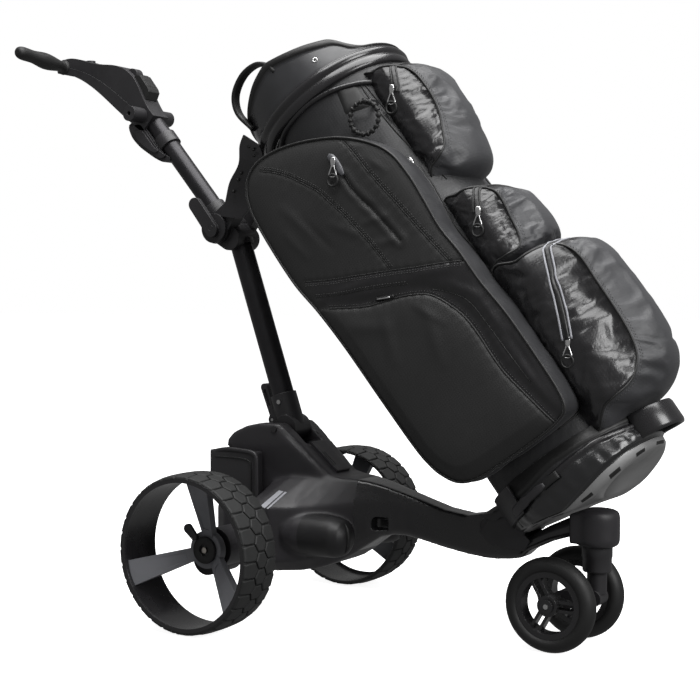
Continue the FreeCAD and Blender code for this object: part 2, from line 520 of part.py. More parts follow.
upper_c = lean(saddle(BARREL[2:], 740.5, 755.5, -127, 1.5, 10))
stem = prism([(-74, 737), (-50, 727), (24, 768), (16, 784)], -17, 17)
stem = stem.cut(lean(hull([(700, 0, 145, 134), (800, 0, 145, 134)])))
hooks = [lean(Part.makeCylinder(7, 26, V(-196, y, 733))) for y in (-34, 34)]
hooks = fuse(*hooks, lean(box(-202, -190, -34, 34, 733, 744)))
add("upper_cradle", fuse(upper_c, hooks, stem).cut(fuse(cast, cyl(24, ELBOW, ELBOW + TUBE_DIR * 90))))
a, b = V(-194, -42.8, 748), V(-146, -75, 748)
band = Part.makeBox((b - a).Length, 3, 13, V(0, -1.5, -6.5))
band.Placement = FreeCAD.Placement(a, FreeCAD.Rotation(Z_, math.degrees(math.atan2(b.y - a.y, b.x - a.x))))
both("cradle_straps", lean(band))
toggle = saddle(BASE[1:], 8, 22, 20, 2.2, 4).common(box(-61.9, 20, -200, 0, 0, 60))
both("base_straps", lean(toggle))

for name, shape in NODES.items():
    shape = shape.copy()
    shape.translate(V(SHIFT_X, 0, 0))
    shape.exportStep("parts/" + name + ".step")
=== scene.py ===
import math

import bmesh
import bpy
import numpy as np
from mathutils import Matrix, Vector
from mathutils.bvhtree import BVHTree


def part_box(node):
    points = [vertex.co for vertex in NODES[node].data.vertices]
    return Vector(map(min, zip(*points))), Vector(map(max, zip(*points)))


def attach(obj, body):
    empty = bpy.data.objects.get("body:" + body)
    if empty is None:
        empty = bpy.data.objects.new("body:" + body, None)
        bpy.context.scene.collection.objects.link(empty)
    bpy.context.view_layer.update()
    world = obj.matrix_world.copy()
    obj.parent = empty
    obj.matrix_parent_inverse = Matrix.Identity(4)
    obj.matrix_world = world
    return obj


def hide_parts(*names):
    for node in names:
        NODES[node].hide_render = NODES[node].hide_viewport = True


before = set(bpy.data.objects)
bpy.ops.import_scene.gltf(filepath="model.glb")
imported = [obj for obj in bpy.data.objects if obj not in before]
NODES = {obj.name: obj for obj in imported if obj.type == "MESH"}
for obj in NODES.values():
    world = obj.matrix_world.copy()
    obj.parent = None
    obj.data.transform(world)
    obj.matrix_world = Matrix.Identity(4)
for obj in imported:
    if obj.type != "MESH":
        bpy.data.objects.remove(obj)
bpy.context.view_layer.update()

# Looks of an electric golf trolley that carries a cart bag. Every piece is built in metres around
# the CAD frame. Shapes that belong to the trolley are written in millimetres from the rear axle
# (at), and shapes that belong to the bag in its own leaning frame (bag): u across the bag towards
# its front pockets, v to the trolley's left, s along the bag from its base to its mouth.
MM = 0.001


def middle(node):
    lo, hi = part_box(node)
    return (lo + hi) / 2


AXLE = middle("rear_tyre_right")
CASTER_X = 613
FRONT_AXLE = (559, 0, 76.5)
BAG_LEAN = math.radians(36.5)
BAG_BASE = Vector((AXLE.x + 0.585, 0, 0.270))


def at(x, y, z):
    return Vector((AXLE.x + x * MM, y * MM, z * MM))


def bag(u, v, s):
    c, d = math.cos(BAG_LEAN), math.sin(BAG_LEAN)
    return BAG_BASE + Vector((u * c - s * d, v, u * d + s * c)) * MM


def bag_points(points):
    """Rows of (u, v, s) in the bag's frame as an array of places in metres."""
    p = np.asarray(points, float)
    c, d = math.cos(BAG_LEAN), math.sin(BAG_LEAN)
    out = np.stack([p[..., 0] * c - p[..., 2] * d, p[..., 1], p[..., 0] * d + p[..., 2] * c], -1)
    return out * MM + np.array(BAG_BASE)


# ---------------------------------------------------------------- materials
class Nodes:
    """A material's node tree, with short calls for the nodes that the surfaces here use."""

    def __init__(self, name):
        self.material = bpy.data.materials.new(name)
        self.material.use_nodes = True
        self.tree = self.material.node_tree
        self.shader = self.tree.nodes["Principled BSDF"]
        self.place = self.tree.nodes.new("ShaderNodeTexCoord").outputs["Object"]

    def node(self, kind, **values):
        n = self.tree.nodes.new("ShaderNode" + kind)
        for key, value in values.items():
            if hasattr(n, key):
                setattr(n, key, value)
            else:
                n.inputs[key.replace("_", " ").title()].default_value = value
        return n

    def link(self, a, b):
        self.tree.links.new(a, b)

    def noise(self, scale, detail=3.0, stretch=(1, 1, 1), lean=False):
        m = self.node("Mapping")
        m.inputs["Scale"].default_value = stretch
        if lean:
            m.inputs["Rotation"].default_value = (0, BAG_LEAN, 0)
        self.link(self.place, m.inputs["Vector"])
        n = self.node("TexNoise", scale=scale, detail=detail)
        self.link(m.outputs[0], n.inputs["Vector"])
        return n.outputs[0]

    def ramp(self, value, low, high, a, b):
        """The value's stretch from low to high, mapped onto a to b."""
        n = self.node("MapRange", from_min=low, from_max=high, to_min=a, to_max=b)
        self.link(value, n.inputs["Value"])
        return n.outputs[0]

    def tone(self, value, dark, light):
        n = self.node("ValToRGB")
        n.color_ramp.elements[0].color = (*dark, 1)
        n.color_ramp.elements[1].color = (*light, 1)
        n.color_ramp.elements[0].position, n.color_ramp.elements[1].position = 0.3, 0.7
        self.link(value, n.inputs[0])
        return n.outputs[0]

    def bump(self, height, strength, distance, normal=None):
        n = self.node("Bump", strength=strength, distance=distance)
        self.link(height, n.inputs["Height"])
        if normal is not None:
            self.link(normal, n.inputs["Normal"])
        return n.outputs[0]

    def weave(self, threads):
        """Crossing threads along and across the bag, so many to the metre."""
        m = self.node("Mapping")
        m.inputs["Rotation"].default_value = (0, BAG_LEAN, 0)
        self.link(self.place, m.inputs["Vector"])
        waves = []
        for direction in ("Z", "X"):
            w = self.node("TexWave", wave_type="BANDS", bands_direction=direction, scale=threads / 20)
            w.inputs["Distortion"].default_value = 0.4
            self.link(m.outputs[0], w.inputs["Vector"])
            waves.append(w.outputs["Fac"])
        n = self.node("Math", operation="MULTIPLY")
        self.link(waves[0], n.inputs[0])
        self.link(waves[1], n.inputs[1])
        return n.outputs[0]

    def rounded(self, radius):
        """Shading normal that turns over sharp edges."""
        return self.node("Bevel", samples=6, radius=radius).outputs[0]

    def set(self, **values):
        for key, value in values.items():
            self.shader.inputs[key.replace("_", " ")].default_value = value


def grey(value, tint=(1.0, 1.0, 1.0)):
    return tuple(value * t for t in tint)


COOL = (0.97, 0.98, 1.06)
VIOLET = (1.0, 0.96, 1.05)


def plastic(name, tone, rough, tint=(1, 1, 1), grain=900, grain_depth=0.12, coat=0.0):
    """Moulded plastic: a fine spark-eroded grain, cloudy gloss and slight scuffs."""
    n = Nodes(name)
    n.link(n.tone(n.noise(14, 4), grey(tone * 0.86, tint), grey(tone * 1.14, tint)),
           n.shader.inputs["Base Color"])
    n.link(n.ramp(n.noise(38, 5), 0.3, 0.7, rough - 0.06, rough + 0.08), n.shader.inputs["Roughness"])
    n.link(n.bump(n.noise(grain, 2), grain_depth, 0.0004, n.rounded(0.0016)), n.shader.inputs["Normal"])
    n.set(Coat_Weight=coat, Coat_Roughness=0.18)
    return n.material


def metal(name, tone, rough, tint=(1, 1, 1), brushed=(1, 1, 1), metallic=1.0):
    """Metal with fine drawn streaks."""
    n = Nodes(name)
    n.link(n.tone(n.noise(30, 4), grey(tone * 0.85, tint), grey(tone * 1.15, tint)),
           n.shader.inputs["Base Color"])
    streak = n.noise(700, 2, brushed)
    n.link(n.ramp(streak, 0.3, 0.7, rough - 0.05, rough + 0.1), n.shader.inputs["Roughness"])
    n.link(n.bump(streak, 0.08, 0.0003), n.shader.inputs["Normal"])
    n.set(Metallic=metallic)
    return n.material


def fabric(name, tone, rough, tint=(1, 1, 1), threads=1400, weave_depth=0.25, crease=0.0, sheen=0.15,
           coat=0.0):
    """Woven and coated cloth: thread relief, soft creases and uneven tone."""
    n = Nodes(name)
    cloud = n.noise(9, 5, lean=True)
    n.link(n.tone(cloud, grey(tone * 0.88, tint), grey(tone * 1.12, tint)), n.shader.inputs["Base Color"])
    n.link(n.ramp(n.noise(60, 4), 0.3, 0.7, rough - 0.05, rough + 0.07), n.shader.inputs["Roughness"])
    normal = n.bump(n.weave(threads), weave_depth, 0.0003)
    if crease:
        folds = n.noise(26, 6, (1.6, 1, 0.45), lean=True)
        normal = n.bump(folds, crease, 0.006, normal)
    n.link(normal, n.shader.inputs["Normal"])
    n.set(Sheen_Weight=sheen, Sheen_Roughness=0.4, Coat_Weight=coat, Coat_Roughness=0.25)
    return n.material


SATIN = plastic("satin_black_plastic", 0.022, 0.44, VIOLET)
SATIN_LIGHT = plastic("satin_black_handle", 0.03, 0.46, VIOLET)
CASING = plastic("casing_black_plastic", 0.027, 0.46, (1.0, 0.94, 1.05))
GLOSS = plastic("gloss_black_plastic", 0.014, 0.24, VIOLET, grain_depth=0.04, coat=0.3)
# near-black plastic for real black parts, and also the painted shade that fills slots, vents and cut-outs
DEEP_BLACK_AND_SHADE = plastic("deep_black_plastic_and_painted_shade", 0.005, 0.5)
BRASS = metal("bolt_brass", 0.5, 0.3, (1.0, 0.93, 0.84))
RUBBER = plastic("soft_rubber", 0.009, 0.55, grain=1600, grain_depth=0.2)
TYRE = plastic("tyre_rubber", 0.016, 0.66, (0.98, 1.0, 1.0), grain=700, grain_depth=0.3)
SPOKE = plastic("spoke_grey_plastic", 0.17, 0.36, COOL, grain_depth=0.05)
ANODISED = metal("anodised_black_tube", 0.028, 0.34, VIOLET, (1, 1, 0.05), metallic=0.6)
STEEL = metal("steel_bright", 0.55, 0.28)
PULL = metal("pull_metal", 0.72, 0.2)
SILVER = plastic("silver_trim", 0.42, 0.3, COOL, grain_depth=0.02)
CLOTH = fabric("bag_side_cloth", 0.015, 0.6, crease=0.1, sheen=0.05)
# painted light: the side cloth's fabric in a lighter tone, for the pocket fronts that face the lights
LIT_FRONT_CLOTH = fabric("bag_front_cloth_painted_light", 0.037, 0.5, COOL, crease=0.1, sheen=0.05)
WALL = fabric("bag_wall_cloth", 0.024, 0.42, COOL, crease=0.15, sheen=0.05)
GUSSET = fabric("bag_gusset_cloth", 0.012, 0.28, VIOLET, crease=0.5, sheen=0.0, coat=0.25)
PIPING = fabric("piping", 0.006, 0.5, threads=2500, weave_depth=0.1)
BARREL = fabric("bag_barrel_cloth", 0.016, 0.45, COOL, crease=0.2, sheen=0.05)
COVER = fabric("rain_cover", 0.01, 0.22, COOL, crease=0.3, sheen=0.0, coat=0.5)
POD = plastic("pod_black_plastic", 0.009, 0.46, VIOLET)
PALE = plastic("pale_underside_plastic", 0.2, 0.4, grain_depth=0.03)
CHARCOAL = plastic("charcoal_panel", 0.028, 0.36, COOL, coat=0.1)
THREAD = fabric("sewing_thread", 0.05, 0.6, threads=3000, weave_depth=0.1)
ZIP = fabric("zip_coil", 0.004, 0.4, threads=700, weave_depth=0.6)
TAPE = fabric("reflective_tape", 0.3, 0.35, COOL, threads=1200, weave_depth=0.15)
RUBBER_GREY = plastic("zip_garage_rubber", 0.09, 0.45, COOL, grain_depth=0.05)

CAD_LOOKS = {
    "rear_tyre_right": TYRE, "rear_tyre_left": TYRE, "front_tyre_right": RUBBER, "front_tyre_left": RUBBER,
    "rear_spokes_right": SPOKE, "rear_spokes_left": SPOKE, "rear_hub_right": GLOSS, "rear_hub_left": GLOSS,
    "rear_rim_right": GLOSS, "rear_rim_left": GLOSS,
    "front_rim_right": GLOSS, "front_rim_left": GLOSS, "frame_arm": GLOSS, "accent_strips": SILVER,
    "lower_mast": ANODISED, "upper_tube": ANODISED, "front_axle": GLOSS, "mast_pivot_pin": SATIN,
    "collar_fasteners": STEEL, "handle_grips": RUBBER, "side_pockets": CLOTH, "upper_pocket": LIT_FRONT_CLOTH,
    "mid_pocket": LIT_FRONT_CLOTH, "lower_pocket": LIT_FRONT_CLOTH, "bag_barrel": BARREL, "bag_base": WALL, "bag_collar": SATIN,
    "bag_divider": BARREL, "bag_handle": RUBBER, "cradle_straps": PIPING, "base_straps": PIPING,
    "housing_lower": DEEP_BLACK_AND_SHADE, "towel_ring": RUBBER,
}
for name, node in NODES.items():
    look = CAD_LOOKS.get(name, PULL if name.startswith("zip_pull") else SATIN)
    node.data.materials.clear()
    node.data.materials.append(look)


# ---------------------------------------------------------------- mesh building
def smooth_path(points, count, closed=False):
    """Evenly spaced places on a smooth curve through the points."""
    p = np.asarray(points, float)
    if closed:
        ext = np.vstack([p[-1:], p, p[:2]])
    else:
        ext = np.vstack([2 * p[0] - p[1], p, 2 * p[-1] - p[-2]])
    t = np.linspace(0, 1, 24, endpoint=False)[:, None]
    spans = [0.5 * (2 * b + (c - a) * t + (2 * a - 5 * b + 4 * c - d) * t ** 2
                    + (3 * b - a - 3 * c + d) * t ** 3)
             for a, b, c, d in zip(ext, ext[1:], ext[2:], ext[3:])]
    q = np.vstack(spans + [ext[-2][None]])
    run = np.r_[0, np.cumsum(np.linalg.norm(np.diff(q, axis=0), axis=1))]
    w = np.linspace(0, run[-1], count, endpoint=not closed)
    return np.stack([np.interp(w, run, q[:, i]) for i in range(q.shape[1])], 1)


def piece(name, verts, faces, body, look, slot=None, stands_for=(), kinds=None, crisp=None):
    """A smooth mesh from places and faces, riding on a body. Each face may pick one of several looks, and
    edges that turn by more than crisp degrees stay sharp."""
    mesh = bpy.data.meshes.new(name)
    mesh.from_pydata([tuple(v) for v in np.asarray(verts, float)], [], [tuple(f) for f in faces])
    for m in look if isinstance(look, (list, tuple)) else [look]:
        mesh.materials.append(m)
    if kinds is not None:
        mesh.polygons.foreach_set("material_index", np.asarray(kinds, np.int32))
    bm = bmesh.new()
    bm.from_mesh(mesh)
    bmesh.ops.remove_doubles(bm, verts=bm.verts, dist=1e-6)
    bmesh.ops.recalc_face_normals(bm, faces=bm.faces)
    bm.to_mesh(mesh)
    bm.free()
    mesh.shade_smooth()
    if crisp:
        mesh.set_sharp_from_angle(angle=math.radians(crisp))
    obj = bpy.data.objects.new(name, mesh)
    bpy.context.scene.collection.objects.link(obj)
    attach(obj, body)
    if stands_for:
        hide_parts(*stands_for)
    return obj


def sheet_faces(rows, cols, wrap_cols=False, wrap_rows=False, start=0):
    """Quads of a grid of rows by cols places, numbered along each row."""
    i, j = np.meshgrid(np.arange(rows if wrap_rows else rows - 1),
                       np.arange(cols if wrap_cols else cols - 1), indexing="ij")
    i2, j2 = (i + 1) % rows, (j + 1) % cols
    return (start + np.stack([i * cols + j, i * cols + j2, i2 * cols + j2, i2 * cols + j], -1).reshape(-1,
        4)).tolist()


def frames(path, closed, up=None):
    """Unit directions across a path at each place: sideways, and up from the surface that it lies on."""
    d = np.roll(path, -1, 0) - np.roll(path, 1, 0) if closed else np.gradient(path, axis=0)
    t = d / np.maximum(np.linalg.norm(d, axis=1, keepdims=True), 1e-12)
    if up is None:
        n = np.cross(t[0], (0, 0, 1) if abs(t[0][2]) < 0.9 else (1, 0, 0))
        ups = []
        for k in t:
            n = n - k * (n @ k)
            n = n / np.linalg.norm(n)
            ups.append(n)
        up = np.array(ups)
    else:
        up = np.broadcast_to(np.asarray(up, float), path.shape)
        up = up - t * np.sum(up * t, 1, keepdims=True)
        up = up / np.maximum(np.linalg.norm(up, axis=1, keepdims=True), 1e-12)
    return np.cross(t, up), up


def tube(name, path, radius, body, look, closed=False, sides=8, flat=1.0, up=None, square=1.0, **more):
    """Round or flattened strip along a path. square below 1 turns the round section towards a rectangle."""
    path = np.asarray(path, float)
    across, up = frames(path, closed, up)
    a = np.linspace(0, 2 * np.pi, sides, endpoint=False) + np.pi / sides
    c = np.sign(np.cos(a)) * np.abs(np.cos(a)) ** square
    s = np.sign(np.sin(a)) * np.abs(np.sin(a)) ** square
    r = np.broadcast_to(np.asarray(radius, float), (len(path),))[:, None, None]
    rings = path[:, None] + r * (across[:, None] * c[None, :, None] + up[:, None] * s[None, :, None] * flat)
    faces = sheet_faces(len(path), sides, True, closed)
    if not closed:
        last = (len(path) - 1) * sides
        faces += [list(range(sides))[::-1], [last + k for k in range(sides)]]
    return piece(name, rings.reshape(-1, 3), faces, body, look, **more)


CROSS = ((1, 0), (0, 1), (-1, 0), (0, -1))


def stitches(name, paths, body, look, length=3.2, gap=2.0, radius=0.45, **more):
    """Sewing thread: a row of short raised stitches along each path."""
    blocks = []
    for path in paths:
        run = np.r_[0, np.cumsum(np.linalg.norm(np.diff(path, axis=0), axis=1))]
        starts = np.arange(0, run[-1] - length * MM, (length + gap) * MM)

        def spot(w):
            return np.stack([np.interp(w, run, path[:, i]) for i in range(3)], 1)

        along = spot(starts + length * MM) - spot(starts)
        side = np.cross(along, (0.31, 0.9, 0.3))
        side /= np.maximum(np.linalg.norm(side, axis=1, keepdims=True), 1e-12)
        other = np.cross(along, side)
        other /= np.maximum(np.linalg.norm(other, axis=1, keepdims=True), 1e-12)
        rings = [[spot(starts + share * length * MM) + radius * MM * width * (side * x + other * y)
                  for x, y in CROSS] for share, width in ((0, 0.3), (0.25, 1), (0.75, 1), (1, 0.3))]
        blocks.append(np.array(rings).transpose(2, 0, 1, 3).reshape(-1, 3))
    verts = np.vstack(blocks)
    one = sheet_faces(4, 4, True) + [[3, 2, 1, 0], [12, 13, 14, 15]]
    faces = [[k + 16 * i for k in f] for i in range(len(verts) // 16) for f in one]
    return piece(name, verts, faces, body, look, **more)


def coons(ring, across, along):
    """Grid that fills a closed ring of 2 (across + along) places, counted from a corner."""
    r = np.vstack([ring, ring[:1]])
    low, right = r[:across + 1], r[across:across + along + 1]
    high, left = r[across + along:2 * across + along + 1][::-1], r[2 * across + along:][::-1]
    a = np.linspace(0, 1, across + 1)[None, :, None]
    b = np.linspace(0, 1, along + 1)[:, None, None]
    grid = (1 - b) * low[None] + b * high[None] + (1 - a) * left[:, None] + a * right[:, None]
    return grid - ((1 - a) * (1 - b) * r[0] + a * (1 - b) * r[across] + a * b * r[across + along]
                   + (1 - a) * b * r[2 * across + along])


def line_gap(points, line, closed=False):
    """Distance from each 2D point to a polyline, which side of it the point is on, and how far along it."""
    line = np.asarray(line, float)
    ends = np.vstack([line, line[:1]]) if closed else line
    a, d = ends[:-1], np.diff(ends, axis=0)
    size = np.maximum(np.linalg.norm(d, axis=1), 1e-9)
    run = np.r_[0, np.cumsum(size)[:-1]]
    best = np.full(len(points), 1e9)
    side, along = np.zeros(len(points)), np.zeros(len(points))
    for p, v, n, r in zip(a, d, size, run):
        w = points - p
        t = np.clip((w @ v) / n ** 2, 0, 1)
        gap = np.linalg.norm(w - t[:, None] * v, axis=1)
        near = gap < best
        best[near] = gap[near]
        side[near] = np.sign(v[0] * w[near, 1] - v[1] * w[near, 0])
        along[near] = r + t[near] * n
    return best, side, along


def inside(points, loop):
    """Whether each 2D point is inside a closed loop."""
    loop = np.asarray(loop, float)
    hit = np.zeros(len(points), bool)
    for (ax, ay), (bx, by) in zip(loop, np.roll(loop, -1, 0)):
        cross = (ay > points[:, 1]) != (by > points[:, 1])
        x = ax + (points[:, 1] - ay) * (bx - ax) / (by - ay if by != ay else 1e-9)
        hit ^= cross & (points[:, 0] < x)
    return hit


def ripple(points, scale, seed):
    """Smooth uneven value from -1 to 1 over 2D or 3D points, from a few crossing waves."""
    rng = np.random.default_rng(seed)
    total = np.zeros(len(points))
    for _ in range(7):
        way = rng.normal(size=points.shape[1])
        way /= np.linalg.norm(way)
        total += np.sin(points @ way * (2 * np.pi / scale) * rng.uniform(0.6, 1.7) + rng.uniform(0, 6.3))
    return total / 4.5


def creases(points, marks):
    """Height of listed folds: each has two ends, a half width and a height that fades at its ends."""
    height = np.zeros(len(points))
    for (u0, s0, u1, s1), width, rise in marks:
        a, d = np.array([u0, s0]), np.array([u1 - u0, s1 - s0])
        t = ((points - a) @ d) / (d @ d)
        k = np.clip(t, 0, 1)
        gap = np.linalg.norm(points - a - k[:, None] * d, axis=1)
        height += rise * np.exp(-(gap / width) ** 2) * np.sin(np.pi * np.clip(0.12 + 0.76 * t, 0, 1))
    return height


def tree_of(obj):
    mesh = obj.data
    return BVHTree.FromPolygons([v.co for v in mesh.vertices], [p.vertices[:] for p in mesh.polygons])


def lay(tree, points, way, lift=0.0):
    """Where lines from the points meet a surface, raised off it by lift."""
    out = []
    for p in points:
        hit, normal, _, _ = tree.ray_cast(Vector(p), Vector(way))
        if hit is None:
            hit, normal, _, _ = tree.find_nearest(Vector(p))
        out.append(hit - Vector(way) * lift)
    return np.array(out)


def tidy_line(path, passes=4):
    """Smooths a laid line's small steps and keeps its ends."""
    for _ in range(passes):
        path = np.vstack([path[:1], (path[:-2] + 2 * path[1:-1] + path[2:]) / 4, path[-1:]])
    return path


# ---------------------------------------------------------------- driving wheels
def lathe(profile, middle, axis="y", turns=96, closed=True):
    """Places and faces of a (radius, height) profile in millimetres, turned about an axis through a place."""
    p = np.asarray(profile, float)
    a = np.linspace(0, 2 * np.pi, turns, endpoint=False)[:, None]
    c, d, h = p[:, 0] * np.cos(a), p[:, 0] * np.sin(a), np.broadcast_to(p[:, 1], (turns, len(p)))
    out = np.stack({"y": (c, h, d), "z": (c, d, h), "x": (h, c, d)}[axis], -1) * MM
    return out.reshape(-1, 3) + np.array(middle), sheet_faces(turns, len(p), closed, True)


LUGS = 30
HEX = [(0, -16.3), (14.15, -8.15), (14.15, 8.15), (0, 16.3), (-14.15, 8.15), (-14.15, -8.15)]
SHOULDER = [(0, 8.2), (14.15, 16.35), (14.15, 36), (12.4, 44.2), (-12.4, 44.2), (-14.15, 36),
            (-14.15, 16.35)]


def tread(name, side):
    """Off-road tyre: a smooth carcass with three staggered rows of six-sided lugs."""
    carcass = [(125.4, -41), (127.5, -43.4), (130, -42), (130.8, -36), (130.8, 36), (130, 42),
               (127.5, 43.4), (125.4, 41)]
    centre = at(0, side * 249.25, 135)
    verts, faces = lathe(carcass, centre, turns=180)
    blocks = [verts]
    for k in range(LUGS):
        for row, outline, step in ((0, HEX, 0.0), (1, SHOULDER, 0.5), (-1, SHOULDER, 0.5)):
            p = np.array(outline, float)
            if row < 0:
                p = p * (1, -1)
            mid = p.mean(0)
            rings = []
            for scale, sink in ((0.93, None), (0.915, 1.1), (0.8, 0.0)):
                q = (p - mid) * scale + mid
                crown = 135 - 3.6 * (np.abs(q[:, 1]) / 44.2) ** 4
                r = np.full(len(q), 128.6) if sink is None else crown - sink
                turn = (k + step) * 2 * np.pi / LUGS + q[:, 0] / 135
                rings.append(np.stack([r * np.cos(turn), q[:, 1], r * np.sin(turn)],
                                      -1) * MM + np.array(centre))
            start, n = sum(len(b) for b in blocks), len(p)
            faces += sheet_faces(3, n, True, start=start) + [[start + 2 * n + i for i in range(n)]]
            blocks.append(np.vstack(rings))
    return piece(name, np.vstack(blocks), faces, "rear_wheel_" + ("right" if side < 0 else "left"), TYRE,
                 "tyre", ("rear_" + name,), crisp=34)


for side, word in ((-1, "right"), (1, "left")):
    tread("tyre_" + word, side)
    cap = [(0, 231.4), (3.4, 231.4), (5.2, 230.2), (5.6, 228), (5.6, 224)]
    piece("hub_bolt_" + word, *lathe([(r, side * y) for r, y in cap], at(0, 0, 135), turns=24,
                                     closed=False), "rear_wheel_" + word, BRASS, "steel", crisp=40)
    ring = [(9.2, 227), (9.2, 230.6), (12, 232), (19, 232), (22.6, 230), (22.6, 226)]
    piece("hub_ring_" + word, *lathe([(r, side * y) for r, y in ring], at(0, 0, 135), turns=48,
                                     closed=False), "rear_wheel_" + word, RUBBER, "gloss_black", crisp=40)


# ---------------------------------------------------------------- housing, arm and caster head
def box_part(low, high):
    """Closed box between two corners in millimetres."""
    (a, b, c), (d, e, f) = low, high
    verts = [at(x, y, z) for x, y, z in ((a, b, c), (d, b, c), (d, e, c), (a, e, c), (a, b, f), (d, b, f),
                                         (d, e, f), (a, e, f))]
    return verts, [[3, 2, 1, 0], [4, 5, 6, 7], [0, 1, 5, 4], [1, 2, 6, 5], [2, 3, 7, 6], [3, 0, 4, 7]]


def slab_part(outline, y0, y1):
    """Closed slab: an outline of (x, z) between two widths. Each width may vary from place to place."""
    n = len(outline)
    a, b = np.broadcast_to(y0, n), np.broadcast_to(y1, n)
    verts = [at(x, y, z) for (x, z), y in zip(outline, a)] + [at(x, y, z) for (x, z), y in zip(outline, b)]
    return verts, sheet_faces(2, n, True) + [list(range(n))[::-1], [n + k for k in range(n)]]


def loft_part(rings):
    """Closed skin through rings of equally many places in millimetres."""
    n, m = len(rings), len(rings[0])
    return [at(*q) for ring in rings for q in ring], (sheet_faces(n, m, True) + [list(range(m))[::-1]]
                                                      + [[(n - 1) * m + k for k in range(m)]])


def raw(parts):
    """A bare object from several parts, for shaping only."""
    verts, faces = [], []
    for v, f in parts:
        faces += [[k + len(verts) for k in face] for face in f]
        verts += [tuple(q) for q in v]
    mesh = bpy.data.meshes.new("shaping")
    mesh.from_pydata(verts, [], faces)
    bm = bmesh.new()
    bm.from_mesh(mesh)
    bmesh.ops.recalc_face_normals(bm, faces=bm.faces)
    bm.to_mesh(mesh)
    bm.free()
    obj = bpy.data.objects.new("shaping", mesh)
    bpy.context.scene.collection.objects.link(obj)
    return obj


def skin(parts, cuts=(), cell=3.0, soften=6):
    """One soft-edged skin around overlapping closed parts, less the cuts: its places and faces."""
    body = raw(parts)
    tools = [raw([c]) for c in cuts]
    steps = [("REMESH", {})] + [("BOOLEAN", dict(operation="DIFFERENCE", object=t,
                                                 solver="EXACT")) for t in tools]
    steps += [("REMESH", {})] if tools else []
    for kind, facts in steps + [("SMOOTH", dict(factor=0.5, iterations=soften))]:
        m = body.modifiers.new(kind.lower(), kind)
        if kind == "REMESH":
            m.mode, m.voxel_size = "VOXEL", cell * MM
        for key, value in facts.items():
            setattr(m, key, value)
    mesh = bpy.data.meshes.new_from_object(body.evaluated_get(bpy.context.evaluated_depsgraph_get()))
    co = np.array([v.co for v in mesh.vertices])
    faces = [list(f.vertices) for f in mesh.polygons]
    for obj in [body] + tools:
        bpy.data.objects.remove(obj)
    return co, faces


def share(co, faces, chosen):
    """The chosen faces of a mesh, with only the places that they use."""
    kept = [f for f, use in zip(faces, chosen) if use]
    used = sorted({k for f in kept for k in f})
    number = {k: i for i, k in enumerate(used)}
    return co[used], [[number[k] for k in f] for f in kept]


# x, underside and its half width, chine, half width, shoulder, then half width and height of the deck
STATIONS = [
    (-77, 120, 70, 134, 84, 190, 60, 199), (-66, 102, 84, 118, 104, 195, 62, 199),
    (-40, 88, 92, 106, 120, 196, 64, 199), (8, 84, 96, 103, 124, 196, 62, 199),
    (22, 84, 96, 103, 124, 197, 62, 234), (60, 84, 94, 104, 123, 198, 60, 245),
    (95, 86, 80, 107, 108, 198, 58, 246), (125, 91, 62, 112, 88, 200, 52, 247),
    (150, 101, 50, 122, 72, 203, 45, 249), (175, 115, 40, 134, 58, 206, 38, 248),
    (200, 132, 32, 147, 46, 208, 30, 245), (225, 149, 26, 162, 38, 209, 26, 240),
    (250, 155, 23, 165, 32, 210, 23, 233), (276, 155, 22, 165, 30, 207, 21, 226),
    (311, 149, 21, 159, 29, 199, 20, 216), (345, 142, 21, 152, 29, 190, 20, 206),
    (389, 135, 21, 146, 29, 182, 20, 200), (420, 132, 21, 143, 29, 184, 20, 206),
    (450, 132, 21, 143, 29, 205, 20, 226), (470, 134, 21, 144, 29, 186, 20, 204),
    (490, 138, 21, 148, 29, 162, 22, 177), (503, 151, 21, 158, 29, 164, 22, 175),
    (540, 169, 21, 175, 29, 187, 22, 196), (582, 183, 21, 189, 29, 205, 22, 216)]


def hull_rings():
    rings = []
    for x, low, low_half, chine, half, shoulder, deck_half, deck in STATIONS:
        side = [(-low_half, low), (-half, chine), (-half, shoulder), (-deck_half, deck)]
        rings.append([(x, y, z) for y, z in side] + [(x, -y, z) for y, z in side[::-1]])
    return rings


def bullet(side):
    """Motor pod: rounded at the back and narrowing to its nose."""
    verts, faces = lathe([(0, 60), (22, 66), (33, 84), (36, 104), (36, 158), (35, 178), (30, 193),
                          (18, 202), (0, 205)], at(0, side * 88, 153), "x", 40, closed=False)
    return verts, faces


ARCH = [(-70, 190), (-70, 287), (-80, 293), (-79, 304), (-64, 319), (-38, 331), (-10, 337), (34, 338),
        (52, 324), (134, 253), (186, 243), (186, 190)]
PANEL = [(-70, 190), (-70, 287), (-80, 293), (-79, 304), (-64, 319), (-38, 331), (-10, 337), (26, 336),
         (62, 306), (110, 268), (140, 236), (150, 212), (150, 190)]
plan = np.interp([x for x, _ in ARCH], (-100, 70, 192), (55, 55, 36))
flat = np.interp([x for x, _ in PANEL], (-100, 60, 150), (59.5, 59.5, 48))
crease_cuts = []
for side in (-1, 1):
    line = smooth_path([(214, 232), (250, 224), (286, 213), (321, 203), (355, 191), (383, 181), (411, 179),
                        (430, 184)], 40)
    path = np.array([at(x, side * float(np.interp(x, (214, 250, 290), (42, 34, 30.5))), z) for x,
                     z in line])
    cross_a, cross_b = frames(path, False)
    a = np.linspace(0, 2 * np.pi, 8, endpoint=False)
    rings = path[:, None] + 3.4 * MM * (cross_a[:, None] * np.cos(a)[None, :, None] + cross_b[:,
        None] * np.sin(a)[None, :, None])
    crease_cuts.append((rings.reshape(-1, 3), sheet_faces(40, 8, True) + [list(range(8))[::-1],
                                                                          [312 + k for k in range(8)]]))
